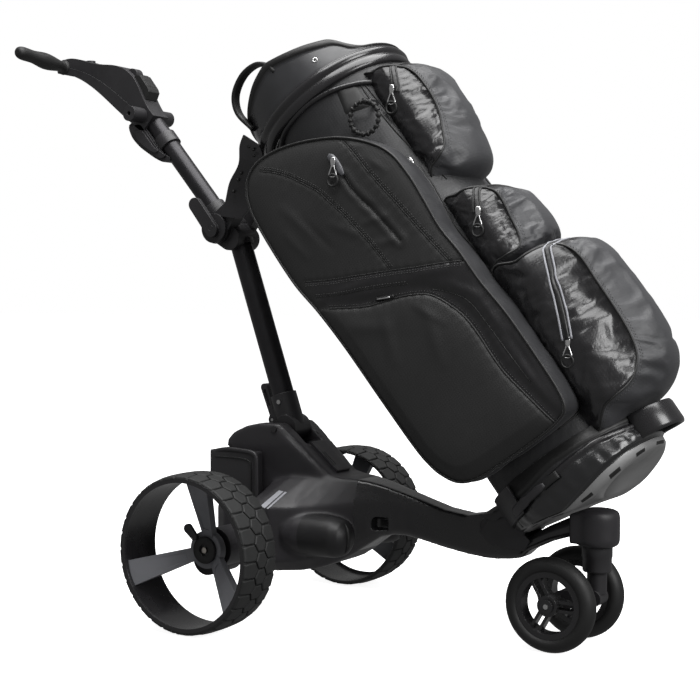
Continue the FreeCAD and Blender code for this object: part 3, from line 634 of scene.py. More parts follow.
casing, casing_faces = skin(
    [loft_part(hull_rings()), slab_part(ARCH, -plan, plan), slab_part(PANEL, -flat, flat), bullet(-1),
     bullet(1)], [box_part((-34, -27.5, 299), (113, 27.5, 400))]
    + [box_part((216, min(side * 20, side * 70), 162), (244, max(side * 20, side * 70),
                                                        184)) for side in (-1, 1)] + crease_cuts)
where = (np.array([casing[f].mean(0) for f in casing_faces]) - (AXLE.x, 0, 0)) / MM
is_pod = (np.hypot(np.abs(where[:, 1]) - 88, where[:, 2] - 151) < 40) & (where[:, 0] > 118) & (where[:,
    0] < 212) & (np.abs(where[:, 1]) > 60)
is_arm = (where[:, 0] > 187) & ~is_pod
is_dome = (where[:, 2] > 200) & ~is_arm & ~is_pod
for name, chosen, look, stands_for in (
        ("arm_casing", is_arm, GLOSS, "frame_arm"), ("upper_casing", is_dome, CASING, "housing_upper"),
        ("lower_casing", ~(is_arm | is_dome | is_pod), CASING, "housing_lower"),
        ("pod_casing", is_pod, POD, "motor_pods")):
    piece(name, *share(casing, casing_faces, chosen), "chassis", look, "satin_black", (stands_for,))


head_mesh = skin([box_part((577, -33, 172), (CASTER_X, 33, 222)),
                  lathe([(0, 166), (26, 166), (33, 169), (36, 176), (36, 216), (33, 223), (26, 226),
                         (0, 227)], at(CASTER_X, 0, 0), "z", 60, closed=False)],
                 [slab_part([(560, 211), (610, 232), (560, 270)], -60, 60)], cell=2.5, soften=6)
piece("caster_head_casing", *head_mesh, "chassis", CASING, "satin_black", ("caster_head",))
neck = [(16, 126), (22, 126), (23.5, 128), (23.5, 148), (24.6, 150), (24.6, 166), (20, 168)]
piece("caster_neck", *lathe(neck, at(CASTER_X, 0, 0), "z", 48, closed=False), "chassis", SATIN, "gloss_black",
      ("caster_collar",), crisp=35)

for side, word in ((-1, "right"), (1, "left")):
    dot = [(0, 80.6), (2.6, 80.6), (4.2, 79.8), (4.2, 77)]
    piece("axle_dot_" + word, *lathe([(r, side * y) for r, y in dot], at(*FRONT_AXLE), turns=24,
                                     closed=False), "caster", STEEL, "steel", crisp=40)
    # a near-black strip across each pod's nose: painted shade inside its slot
    mouth = smooth_path([(196, 178), (201.5, 170), (204, 156), (204, 150), (201.5, 136), (196, 128)], 30)
    tube("pod_slot_shade_" + word, [at(x, side * 93, z) for x, z in mouth],
         np.interp(np.linspace(0, 1, 30), (0, 0.25, 0.75, 1), (1.5, 6, 6, 1.5)) * MM, "chassis", DEEP_BLACK_AND_SHADE,
         flat=0.5, up=(1, 0, 0), slot="satin_black", sides=12)

# the dome's smooth front cover with two short vents, drawn as near-black slabs: painted shade inside the
# vents
cover = [(76.2, 302.3), (132.5, 254.2), (135, 257), (134.6, 258.8), (80.5, 305.2), (78.3, 305.2)]
piece("cover_plate", *slab_part(cover, -21, 21), "chassis", CASING, "satin_black", ("cover_strip",),
      crisp=30)
for k, y in enumerate((-16, -10)):
    vent = slab_part([(99, 287.6), (124, 266.3), (125, 267.7), (100, 289)], y - 1.3, y + 1.3)
    piece(f"cover_vent_shade_{k}", *vent, "chassis", DEEP_BLACK_AND_SHADE, "satin_black", crisp=30)

# light stripes on the casing's shoulder
shell = BVHTree.FromPolygons([Vector(q) for q in casing], casing_faces)
for side, word in ((-1, "right"), (1, "left")):
    for k, quad in enumerate((((24, 199), (33, 196), (70, 224), (60, 225)),
                              ((37, 196), (40, 195), (77, 223), (73, 224)))):
        ends = np.array([at(x, side * 95, z) for x, z in quad])
        along, across = np.linspace(0, 1, 14)[:, None, None], np.linspace(0, 1, 4)[None, :, None]
        grid = ((1 - along) * ((1 - across) * ends[0] + across * ends[1])
                + along * ((1 - across) * ends[3] + across * ends[2])).reshape(-1, 3)
        way = Vector((-0.52, -side * 0.85, -0.04)).normalized()
        laid = lay(shell, grid - np.array(way) * 0.3, way, 0.5 * MM)
        piece(f"accent_{word}_{k}", laid, sheet_faces(14, 4), "chassis", SILVER, "silver",
              ("accent_strips",) if side == 1 and k == 1 else ())

# brackets that hold the bag at the arm's end and behind its collar
for side, word in ((-1, "right"), (1, "left")):
    plate = [(424, 206), (456, 214), (494, 240), (516, 227), (513, 207), (499, 178), (470, 206), (450, 199)]
    loop = smooth_path(plate, 60, True)
    piece("bracket_plate_" + word, *slab_part(loop, side * 36, side * 41.5), "chassis", SATIN,
          "satin_black", crisp=40)
    disc = [(0, 33), (14, 33), (16.5, 31.5), (17.5, 29), (17.5, 24)]
    piece("arm_boss_" + word, *lathe([(r, side * y) for r, y in disc], at(436, 0, 186), turns=40,
                                     closed=False), "chassis", SATIN, "satin_black", crisp=40)
    edges = smooth_path([(-100, 709, 44, -54, 703), (-88, 737, 46, -26, 735), (-72, 769, 55, -17, 766),
                         (-42, 799, 69, -9, 793), (-27, 829, 86, 22, 808), (-8, 846, 101, 26, 826)], 40)
    rings = [[(x0, side * y, z0), (x1, side * y, z1), (x1, side * (y + 5), z1), (x0, side * (y + 5), z0)]
             for x0, z0, y, x1, z1 in edges]
    verts, faces = loft_part(rings)
    piece("cradle_arm_" + word, verts, faces, "mast", [SATIN, SATIN_LIGHT], "satin_black", crisp=35,
          kinds=[1 if 27 < k // 4 < 39 else 0 for k in range(156)] + [0, 1])
    for k, (x, y, z) in enumerate(((-50, 62, 772), (-40, 67, 783), (-64, 57, 752), (-4, 93, 826),
                                   (8, 96, 820), (6, 92, 810))):
        rivet = [at(x, side * (y + lift), z) for lift in (0, 3.4)]
        tube(f"cradle_rivet_{word}_{k}", rivet, 2.6 * MM, "mast", DEEP_BLACK_AND_SHADE, slot="satin_black", sides=12)

# second switch on the console, and the layered clip under the upper tube
switch = [(-334, 980), (-327, 987), (-318, 986), (-298, 961), (-295, 953), (-302, 938), (-325, 968)]
piece("console_switch", *slab_part(switch, -16, 16), "handle", RUBBER, "rubber", crisp=40)
piece("console_pad", *slab_part([(-326, 986), (-319, 987.6), (-300, 964), (-302, 960)], -11, 11), "handle",
      DEEP_BLACK_AND_SHADE, "rubber", crisp=40)
holder = [(-342, 892), (-336, 870), (-318, 851), (-299, 838), (-273, 823), (-254, 817), (-242, 824),
          (-262, 838), (-300, 882), (-318, 898)]
piece("clip_body", *slab_part(smooth_path(holder, 60, True), -18, 18), "handle", SATIN, "satin_black",
      ("accessory_holder",), crisp=40)
for k, (out, y0, y1) in enumerate(((0.82, -22, -18), (0.82, 18, 22), (0.55, -25, -22), (0.55, 22, 25))):
    layer = (smooth_path(holder, 60, True) - (-296, 858)) * out + (-296, 858)
    piece(f"clip_layer_{k}", *slab_part(layer, y0, y1), "handle", SATIN if k < 2 else SATIN_LIGHT,
          "satin_black", crisp=40)
along = Vector((-0.653, 0, 0.757))
tube("clip_band", [at(-292, 0, 892) - along * t * MM for t in (58, 34)], 21.5 * MM, "handle", SATIN,
     slot="satin_black", sides=48, crisp=40)

# battery: a saddle with a raised border round its side faces
for_battery = [box_part((-98, -86, 201), (4, -60.6, 288)), box_part((-98, 60.6, 201), (4, 86, 288)),
               box_part((-98, -86, 201), (-71.5, 86, 288))]
piece("battery_casing", *skin(for_battery, cell=2.5, soften=5), "battery", SATIN, "satin_black",
      ("battery_case",))
for side, word in ((-1, "right"), (1, "left")):
    border = smooth_path([(-92, side * 82, 284), (-60, side * 85, 290), (-20, side * 86, 289),
                          (0, side * 87, 286), (7, side * 88, 278), (8, side * 88, 250),
                          (8, side * 88, 206)], 60)
    tube("battery_border_" + word, [at(*q) for q in border], 4.2 * MM, "battery", SATIN, flat=0.8,
         slot="satin_black")
    inner = smooth_path([(-84, side * 86.3, 276), (-40, side * 86.6, 276), (-12, side * 86.6, 273),
                         (-6, side * 86.6, 262), (-5, side * 86.6, 210)], 40)
    tube("battery_line_" + word, [at(*q) for q in inner], 1.6 * MM, "battery", DEEP_BLACK_AND_SHADE, slot="satin_black",
         sides=6)


# ---------------------------------------------------------------- the bag's side pockets
SIDE_EDGE = [(-130, 112), (-112, 88), (-80, 75), (-20, 71), (50, 70), (88, 74), (104, 84), (110, 110),
             (111, 160), (109, 250), (102, 320), (100, 380), (95, 430), (98, 480), (100, 530), (95, 578),
             (76, 617), (38, 660), (-6, 692), (-50, 716), (-90, 730), (-125, 733), (-155, 718),
             (-174, 680), (-179, 620), (-177, 526), (-166, 456), (-158, 378), (-152, 272), (-146, 180),
             (-140, 140)]
SIDE_V, SIDE_CROWN = 150.0, 9.0
SEAMS = {
    "rear": [(-119, 717), (-98, 697), (-77, 670), (-61, 642), (-47, 616), (-38, 585), (-29, 552),
             (-23, 518), (-17, 483), (-12, 428)],
    "front": [(36, 657), (42, 631), (49, 572), (59, 507), (69, 437), (79, 375)],
    "belt": [(-157, 512), (-115, 485), (-69, 459), (-14, 428), (29, 403), (69, 381), (98, 364)],
    "flap": [(-154, 478), (-108, 450), (-73, 433), (-30, 409), (0, 391)],
    "mouth": [(-145, 448), (-86, 409), (-46, 392), (-16, 379), (15, 360), (30, 342), (41, 319), (50, 293),
              (54, 261), (54, 224), (55, 188), (60, 159), (69, 117), (77, 73)],
    "band": [(28, 360), (51, 337), (70, 306), (76, 252), (79, 200), (83, 144)],
}
SIDE_FOLDS = [
    ((-120, 640, -95, 560), 9, 1.6), ((-100, 600, -80, 520), 7, -1.4), ((-140, 600, -128, 540), 8, 1.2),
    ((-60, 560, -20, 500), 8, 1.4), ((0, 560, 30, 520), 6, -1.2), ((-10, 520, 40, 500), 6, 1.4),
    ((-15, 480, 40, 455), 7, 1.6), ((60, 600, 75, 560), 6, 1.2), ((40, 640, 62, 625), 5, 1.0),
    ((-60, 380, -90, 300), 11, 1.8), ((10, 350, -20, 250), 12, 1.8), ((-10, 360, 20, 300), 7, 1.4),
    ((-130, 400, -60, 350), 12, 1.6), ((-130, 440, -20, 385), 6, -2.2), ((-120, 460, -40, 432), 7, 2.0),
    ((20, 395, 75, 365), 8, 2.4), ((60, 350, 90, 300), 7, 2.4), ((88, 300, 92, 230), 6, 2.2),
    ((70, 250, 66, 160), 6, 1.8), ((95, 230, 97, 150), 5, -2.0), ((85, 180, 90, 100), 6, 1.6),
]
SLIT = [(7, 603), (8, 575), (14, 545), (20, 518), (30, 456)]


def side_depth(p):
    """How far the side face stands out from the bag's middle at (u, s)."""
    edge, _, _ = line_gap(p, smooth_path(SIDE_EDGE, 240, True), True)
    out = SIDE_V + SIDE_CROWN * (1 - np.exp(-edge / 20)) + 1.2 * ripple(p, 190, 3) * np.clip(edge / 40, 0,
        1)
    mouth = smooth_path(SEAMS["mouth"], 80)
    gap, side, _ = line_gap(p, mouth)
    pouch = inside(p, list(mouth) + [(77, 60), (-200, 60), (-200, 480)])
    out += np.where(pouch, 8 * (1 - np.exp(-gap / 22)) * np.clip(edge / 25, 0, 1),
                    -3.5 * np.exp(-((gap - 11) / 9) ** 2))
    for name, line in SEAMS.items():
        gap, _, run = line_gap(p, smooth_path(line, 60))
        pucker = 0.35 * np.sin(run * (2 * np.pi / 17) + 2 * np.sin(run / 23)) * np.exp(-(gap / 11) ** 2)
        out += pucker - (2.2 if name == "mouth" else 1.3) * np.exp(-(gap / 2.6) ** 2)
    gap, _, _ = line_gap(p, smooth_path(SLIT, 40))
    out += 1.2 * np.exp(-((gap - 9) / 5) ** 2) - 3.2 * np.exp(-(gap / 2.4) ** 2)
    return out + creases(p, SIDE_FOLDS)


def barrel_root(u, s, reach_back=-125, reach_front=105):
    """Where a pocket's wall meets the bag's oval barrel."""
    k = np.clip(u, reach_back, reach_front)
    return k, 127 * np.sqrt(1 - (k / 139) ** 2)


def side_pocket(name, hand):
    """Full-length side pocket: crowned face with sewn panels, a gusset wall and piping at both edges."""
    across, along = 96, 236
    edge = smooth_path(SIDE_EDGE, 2 * (across + along), True)
    grid = coons(edge, across, along)
    flat = grid.reshape(-1, 2)
    depth = side_depth(flat)
    cap = np.stack([flat[:, 0], -depth, flat[:, 1]], 1)
    rim = np.stack([edge[:, 0], np.full(len(edge), -SIDE_V), edge[:, 1]], 1)
    ku, kv = barrel_root(edge[:, 0], edge[:, 1])
    shrink = (edge - edge.mean(0)) * (0.985, 0.992) + edge.mean(0)
    root = np.stack([np.where(edge[:, 0] < -125, ku, shrink[:, 0]), -kv + 6, shrink[:, 1]], 1)
    turn = np.roll(edge, -1, 0) - np.roll(edge, 1, 0)
    turn /= np.linalg.norm(turn, axis=1, keepdims=True)
    proud = np.stack([turn[:, 1], np.zeros(len(edge)), -turn[:, 0]], 1)
    walls = []
    for k in np.linspace(0, 1, 13)[:-1]:
        swell = math.sin(math.pi * k) * (4.5 + 1.3 * ripple(edge, 60, 8))[:, None]
        walls.append(root * (1 - k) + rim * k + proud * swell)
    shape = np.vstack(walls + [rim])
    n = len(edge)
    faces = sheet_faces(len(walls) + 1, n, True)
    kinds = [1] * len(faces)
    cap_faces = sheet_faces(along + 1, across + 1, start=len(shape))
    centre = cap[np.array(cap_faces) - len(shape)].mean(1)[:, [0, 2]]
    trim = inside(centre, smooth_path(SEAMS["mouth"], 80).tolist()
                  + [(77, 60), (140, 60), (140, 372), (98, 364)] + SEAMS["belt"][::-1])
    kinds += np.where(trim, 2, 0).tolist()
    verts = bag_points(np.vstack([shape, cap]) * (1, -hand, 1))
    obj = piece(name, verts, faces + cap_faces, "bag", [CLOTH, WALL, GUSSET], "bag_fabric", kinds=kinds)
    tree = tree_of(obj)

    def on_face(line, count, lift, closed=False):
        p = smooth_path(line, count, closed)
        start = bag_points(np.stack([p[:, 0], np.full(len(p), 260.0 * hand), p[:, 1]], 1))
        laid = lay(tree, start, (0, -hand, 0), lift * MM)
        return laid if closed else tidy_line(laid)

    tube(name + "_edge_piping", bag_points((rim + proud * 0.6 + (0, -1.2, 0)) * (1, -hand, 1)), 2.1 * MM,
         "bag", PIPING, closed=True, slot="bag_fabric")
    foot = (root * 0.93 + rim * 0.07) + proud * 3.2
    front = edge[:, 0] > 60
    first = int(np.argmax(~front & np.roll(front, -1)))
    order = np.roll(np.arange(n), -first - 1)
    order = order[front[order]]
    tube(name + "_root_piping", bag_points(foot[order] * (1, -hand, 1)), 1.9 * MM, "bag", PIPING,
         slot="bag_fabric")
    lines = {key: on_face(line, 150, 0.3) for key, line in SEAMS.items()}
    for key, size in (("mouth", 1.9), ("belt", 1.0), ("rear", 0.8), ("front", 0.8), ("flap", 0.8),
                      ("band", 0.8)):
        tube(f"{name}_{key}_seam", lines[key], size * MM, "bag", PIPING, slot="bag_fabric", sides=6)
    threads = []
    for key, shifts in (("rear", (4, 7)), ("front", (4, 7)), ("belt", (-4, -7)), ("mouth", (5,)),
                        ("flap", (4,))):
        base = smooth_path(SEAMS[key], 60)
        d = np.gradient(base, axis=0)
        side = np.stack([-d[:, 1], d[:, 0]], 1) / np.linalg.norm(d, axis=1, keepdims=True)
        for shift in shifts:
            threads.append(on_face(base + side * shift, 120, 0.25))
    stitches(name + "_thread", threads, "bag", THREAD, slot="bag_fabric")
    tube(name + "_slit_zip", on_face(SLIT, 60, -0.6), 2.3 * MM, "bag", ZIP, flat=0.5, up=(0, -hand, 0),
         slot="bag_fabric")
    tube(name + "_zip_garage", on_face([(4, 650), (8, 638), (9, 622), (8, 606)], 24, 0.8),
         np.interp(np.linspace(0, 1, 24), (0, 0.15, 0.8, 1), (4, 7.5, 6.5, 4)) * MM, "bag", RUBBER_GREY,
         flat=0.35, up=(0, hand, 0), slot="rubber")
    tube(name + "_pouch_slider", on_face([(-63, 407), (-45, 397), (-32, 390)], 16, 2.2), 3.4 * MM, "bag",
         DEEP_BLACK_AND_SHADE, flat=0.5, up=(0, hand, 0), slot="rubber")
    tube(name + "_pouch_tab", on_face([(-60, 405), (-38, 393)], 10, 4.0), 1.3 * MM, "bag", PULL,
         slot="pull_metal")
    return obj


for name, hand in (("side_pocket_right", -1), ("side_pocket_left", 1)):
    pocket = side_pocket(name, hand)
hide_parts("side_pockets")


# ---------------------------------------------------------------- the bag's front pockets
def cornered_loop(points, corners, across, along):
    """Closed smooth loop whose four corners fall on set places: two long sides and two short ones."""
    p = np.asarray(points, float)
    ext = np.vstack([p[-1:], p, p[:2]])
    t = np.linspace(0, 1, 24, endpoint=False)[:, None]
    q = np.vstack([0.5 * (2 * b + (c - a) * t + (2 * a - 5 * b + 4 * c - d) * t ** 2
                          + (3 * b - a - 3 * c + d) * t ** 3)
                   for a, b, c, d in zip(ext, ext[1:], ext[2:], ext[3:])])
    q = np.vstack([q, q[:1]])
    stops = [24 * k for k in corners] + [len(q) - 1]
    out = []
    for a, b, count in zip(stops, stops[1:], (across, along, across, along)):
        side = q[a:b + 1]
        run = np.r_[0, np.cumsum(np.linalg.norm(np.diff(side, axis=0), axis=1))]
        w = np.linspace(0, run[-1], count, endpoint=False)
        out.append(np.stack([np.interp(w, run, side[:, i]) for i in range(2)], 1))
    return np.vstack(out)


def puff(obj, pins, pressure=1.3, grow=0.04, most=4.0, frames_run=20):
    """Lets cloth swell and wrinkle between its pinned seams, then keeps the result."""
    group = obj.vertex_groups.new(name="seams")
    group.add([int(k) for k in np.nonzero(pins)[0]], 1.0, "REPLACE")
    cloth = obj.modifiers.new("cloth", "CLOTH")
    s = cloth.settings
    s.quality, s.mass, s.air_damping = 6, 0.25, 2.0
    s.tension_stiffness, s.compression_stiffness, s.shear_stiffness, s.bending_stiffness = 12, 12, 6, 0.25
    s.use_pressure, s.uniform_pressure_force = True, pressure
    s.shrink_min = -grow
    s.vertex_group_mass = "seams"
    s.effector_weights.gravity = 0
    cloth.collision_settings.use_collision = False
    scene = bpy.context.scene
    for f in range(1, frames_run + 1):
        scene.frame_set(f)
    shown = obj.evaluated_get(bpy.context.evaluated_depsgraph_get()).data
    old, new = np.zeros(len(obj.data.vertices) * 3), np.zeros(len(obj.data.vertices) * 3)
    obj.data.vertices.foreach_get("co", old)
    shown.vertices.foreach_get("co", new)
    scene.frame_set(1)
    obj.modifiers.remove(cloth)
    obj.vertex_groups.remove(group)
    move = (new - old).reshape(-1, 3)
    size = np.linalg.norm(move, axis=1, keepdims=True)
    move *= np.minimum(1, most * MM / np.maximum(size, 1e-9))
    obj.data.vertices.foreach_set("co", (old.reshape(-1, 3) + move).ravel())
    obj.data.update()


def subdivide(obj, levels=1):
    """Replaces a piece's mesh by its smooth subdivision."""
    m = obj.modifiers.new("smooth", "SUBSURF")
    m.levels = m.render_levels = levels
    mesh = bpy.data.meshes.new_from_object(obj.evaluated_get(bpy.context.evaluated_depsgraph_get()))
    obj.modifiers.remove(m)
    obj.data = mesh
    mesh.shade_smooth()


POCKETS = {
    "upper": dict(
        middle=[(98, 532), (120, 516), (150, 514), (174, 528), (186, 575), (193, 608), (195, 640),
                (193, 680), (186, 704), (176, 722), (150, 744), (128, 750), (98, 742)],
        seam=[(96, 545), (120, 543), (143, 549), (155, 562), (164, 591), (172, 617), (177, 650), (176, 688),
              (170, 709), (163, 719), (148, 731), (125, 738), (98, 732)],
        corners=(0, 3, 9, 12), widths=[(95, 80), (120, 88), (140, 88), (177, 62)],
        zip_line=[(138, -92, 682), (147, -92, 693), (155, -90, 710), (157, -78, 726), (158, -40, 739),
                  (158, 0, 742)]), "mid": dict(
        middle=[(95, 342), (130, 338), (165, 336), (188, 340), (198, 356), (201, 385), (196, 420),
                (184, 452), (160, 474), (128, 484), (98, 482)],
        seam=[(95, 352), (125, 346), (152, 344), (164, 349), (170, 366), (174, 396), (178, 429), (175, 449),
              (156, 469), (128, 476), (98, 474)],
        corners=(0, 3, 7, 10), widths=[(95, 84), (120, 92), (140, 92), (178, 68)],
        zip_line=[(143, -97, 428), (148, -96, 439), (158, -94, 454), (164, -84, 466), (166, -40, 473),
                  (166, 0, 475)]), "lower": dict(
        middle=[(95, 44), (150, 38), (200, 43), (234, 62), (252, 97), (259, 148), (259, 214), (254, 268),
                (236, 308), (196, 328), (150, 330), (98, 325)],
        seam=[(92, 52), (146, 58), (188, 66), (212, 88), (224, 118), (229, 162), (230, 228), (230, 276),
              (218, 306), (195, 320), (155, 322), (98, 318)],
        corners=(0, 3, 8, 11), widths=[(95, 88), (130, 104), (155, 104), (230, 66)],
        zip_line=[(152, -108, 172), (163, -109, 196), (182, -109, 239), (198, -108, 277), (210, -106, 304),
                  (214, -96, 320), (215, -50, 330), (215, 0, 332)]),
}


def front_pocket(name, middle, seam, corners, widths, zip_line):
    """Pocket on the bag's front: a crowned panel between two piped seams, with shiny gussets."""
    across, along, rows = 26, 54, 34
    loop = cornered_loop(middle, corners, across, along)
    rim = cornered_loop(seam, corners, across, along)
    n = len(loop)

    (u0, w0), (u1, w1), (u2, w2), (u3, w3) = widths

    def ease(u, a, b):
        k = np.clip((u - a) / (b - a), 0, 1)
        return k * k * (3 - 2 * k)

    def width(u):
        return w0 + (w1 - w0) * ease(u, u0, u1) + (w3 - w2) * ease(u, u2, u3)

    rings = []
    for t in np.linspace(-1, 1, rows + 1):
        p = rim + (loop - rim) * (1 - abs(t) ** 2.4)
        rings.append(np.stack([p[:, 0], t * width(p[:, 0]), p[:, 1]], 1))
    faces = sheet_faces(rows + 1, n, True)
    kinds = [0 if k % n < across + along else 1 for k in range(len(faces))]
    grid = coons(rim, across, along).reshape(-1, 2)
    gap, _, _ = line_gap(grid, rim, True)
    swell = 6 * (1 - np.exp(-gap / 16))
    for hand in (-1, 1):
        cap = np.stack([grid[:, 0], hand * (width(grid[:, 0]) + swell), grid[:, 1]], 1)
        more = sheet_faces(along + 1, across + 1, start=n * (rows + 1) + (len(grid) if hand > 0 else 0))
        rings.append(cap)
        faces += more
        kinds += [1] * len(more)
    # the panels take the lighter front cloth: painted light for faces turned to the lights
    obj = piece(name + "_pocket_shell", bag_points(np.vstack(rings)), faces, "bag", [LIT_FRONT_CLOTH, GUSSET],
                "bag_fabric", (name + "_pocket",), kinds)
    seams = {hand: np.stack([rim[:, 0], hand * width(rim[:, 0]), rim[:, 1]], 1) for hand in (-1, 1)}
    co = np.array([v.co for v in obj.data.vertices])
    pinned = np.zeros(len(co), bool)
    for hand in (-1, 1):
        for spot in bag_points(seams[hand]):
            pinned |= np.linalg.norm(co - spot, axis=1) < 1e-5
    pinned |= np.linalg.norm((co - np.array(BAG_BASE))[:, [0, 2]]
                             @ np.array([[math.cos(BAG_LEAN)], [math.sin(BAG_LEAN)]]), axis=1) < 0.1
    way = np.array(zip_line + [(u, -v, s) for u, v, s in zip_line[-2::-1]], float)
    route = smooth_path(way, 150)
    hangs = [np.linspace(route[k], route[k] - (0, 0, 45), 8) for k in (0, -1)]
    for spot in bag_points(np.vstack([route[::3], *hangs])):
        pinned |= np.linalg.norm(co - spot, axis=1) < 13 * MM
    puff(obj, pinned)
    subdivide(obj)
    tree = tree_of(obj)
    tops = across + along
    for hand, word in ((-1, "right"), (1, "left")):
        path = seams[hand][:tops + across + 1] + (0, hand * 0.8, 0)
        tube(f"{name}_pocket_piping_{word}", bag_points(path), 2.0 * MM, "bag", PIPING, slot="bag_fabric")
        inner = [rim[:tops] + (loop[:tops] - rim[:tops]) * (1 - abs(t) ** 2.4) for t in (0.95, 0.92)]
        lines = [np.array([near(tree, q, 0.3) for q in bag_points(
            np.stack([p[:, 0], hand * t * width(p[:, 0]), p[:, 1]], 1))]) for p,
                 t in zip(inner, (0.95, 0.92))]
        stitches(f"{name}_pocket_thread_{word}", lines, "bag", THREAD, slot="bag_fabric")
    for word, shift, size, look in (("coil", 0, 4.6, ZIP), ("rear_tape", -7.5, 1.7, TAPE),
                                    ("front_tape", 7.5, 1.7, TAPE)):
        d = np.gradient(route, axis=0)
        side = np.cross(d, route - (150, 0, route[:, 2].mean() - 60))
        side /= np.linalg.norm(side, axis=1, keepdims=True)
        side *= np.sign(side[:, :1] + 1e-9)
        places = bag_points(route + side * shift)
        laid = tidy_line(np.array([near(tree, q, 0.6 if shift else 0.2) for q in places]))
        look = PIPING if shift and name != "lower" else look
        tube(f"{name}_zip_{word}", laid, size * MM, "bag", look, flat=0.35 if not shift else 0.8,
             up=surface_up(tree, laid), slot="bag_fabric")
    return obj


def near(tree, place, lift=0.0):
    """The nearest place on a surface, raised off it by lift millimetres."""
    hit, normal, _, _ = tree.find_nearest(Vector(place))
    return np.array(hit + normal * lift * MM)


def surface_up(tree, path):
    return np.array([tree.find_nearest(Vector(p))[1] for p in path])


for name, facts in POCKETS.items():
    front_pocket(name, **facts)


# ---------------------------------------------------------------- the bag's mouth, barrel and base
TURN = np.linspace(0, 2 * np.pi, 300, endpoint=False)
MOUTH_OVAL = [(757, -5, 151, 138), (790, -6, 151, 138), (900, -12, 138, 124)]
BARREL_OVAL = [(46, 6, 133, 122), (300, 3, 135, 124), (560, 1, 139, 129), (757, 0, 143, 132)]
BASE_OVAL = [(-50, 13, 134, 122), (-20, 13, 139, 128), (46, 8, 138, 127)]


def girdle(sections, s, out):
    """A ring round the bag at height s, which may vary round it, pushed outwards from an oval section."""
    s = np.broadcast_to(s, TURN.shape)
    heights, *rest = np.array(sections, float).T
    centre, half_u, half_v = (np.interp(s, heights, q) for q in rest)
    return np.stack([centre + (half_u + out) * np.cos(TURN), (half_v + out) * np.sin(TURN), s], -1)


def on_barrel(points, lift=0.0, hand=-1):
    """Rows of (u, s) as places on the barrel's side."""
    p = np.asarray(points, float)
    heights, *rest = np.array(BARREL_OVAL, float).T
    centre, half_u, half_v = (np.interp(p[:, 1], heights, q) for q in rest)
    c = np.clip((p[:, 0] - centre) / half_u, -1, 1)
    v = np.sqrt(1 - c * c)
    way = np.stack([c / half_u, v / half_v], 1)
    way /= np.linalg.norm(way, axis=1, keepdims=True)
    return bag_points(np.stack([centre + half_u * c + lift * way[:, 0],
                                hand * (half_v * v + lift * way[:, 1]), p[:, 1]], 1))


RIM = [(-220, 812), (-140, 836), (-60, 864), (-16, 873), (57, 851), (93, 837), (106, 812), (116, 799),
       (200, 797)]
rim_u = -9 + 144 * np.cos(TURN)
top = np.interp(rim_u, *np.array(RIM, float).T)
top = sum(np.roll(top, k) for k in range(-3, 4)) / 7
edge_band = np.minimum(14, 0.55 * (top - 792))
rows, kinds = [], []
for s, out in ((757.5, -1), (758.5, 1.6), (762, 3), (768, 3.2), (773, 2.6), (775.5, 0.4), (777, 1.8),
               (780, 4.2), (784, 5), (788, 4), (790.5, 1), (791.5, -0.6)):
    rows.append(girdle(MOUTH_OVAL, s, out))
    kinds.append(0)
for k in np.linspace(0, 1, 9):
    rows.append(girdle(MOUTH_OVAL, 792.5 + (top - edge_band - 793.5) * k,
                       0.7 * math.sin(math.pi * k) - 0.4))
    kinds.append(1)
kinds[-1] = 0
for down, out in ((0.98, 1.2), (0.85, 2.4), (0.5, 2.8), (0.15, 2.2), (0.0, 0.6), (-0.05, -1.6), (0.0, -4),
                  (0.2, -5.8), (0.6, -6.4), (1.0, -8.6)):
    rows.append(girdle(MOUTH_OVAL, top - edge_band * down, out))
    kinds.append(3)
for k in np.linspace(0.2, 1, 5):
    rows.append(girdle(MOUTH_OVAL, top - edge_band - (top - edge_band - 757.5) * k, -9))
    kinds.append(2)
faces = sheet_faces(len(rows), len(TURN), True, True)
shown = [kinds[f // len(TURN)] for f in range(len(faces))]
rear = rim_u < -98
shown = [0 if k == 1 and rear[f % len(TURN)] else k for f, k in enumerate(shown)]
piece("collar_shell", bag_points(np.vstack(rows)), faces, "bag", [GLOSS, CHARCOAL, BARREL, DEEP_BLACK_AND_SHADE],
      "satin_black", ("bag_collar",), shown)
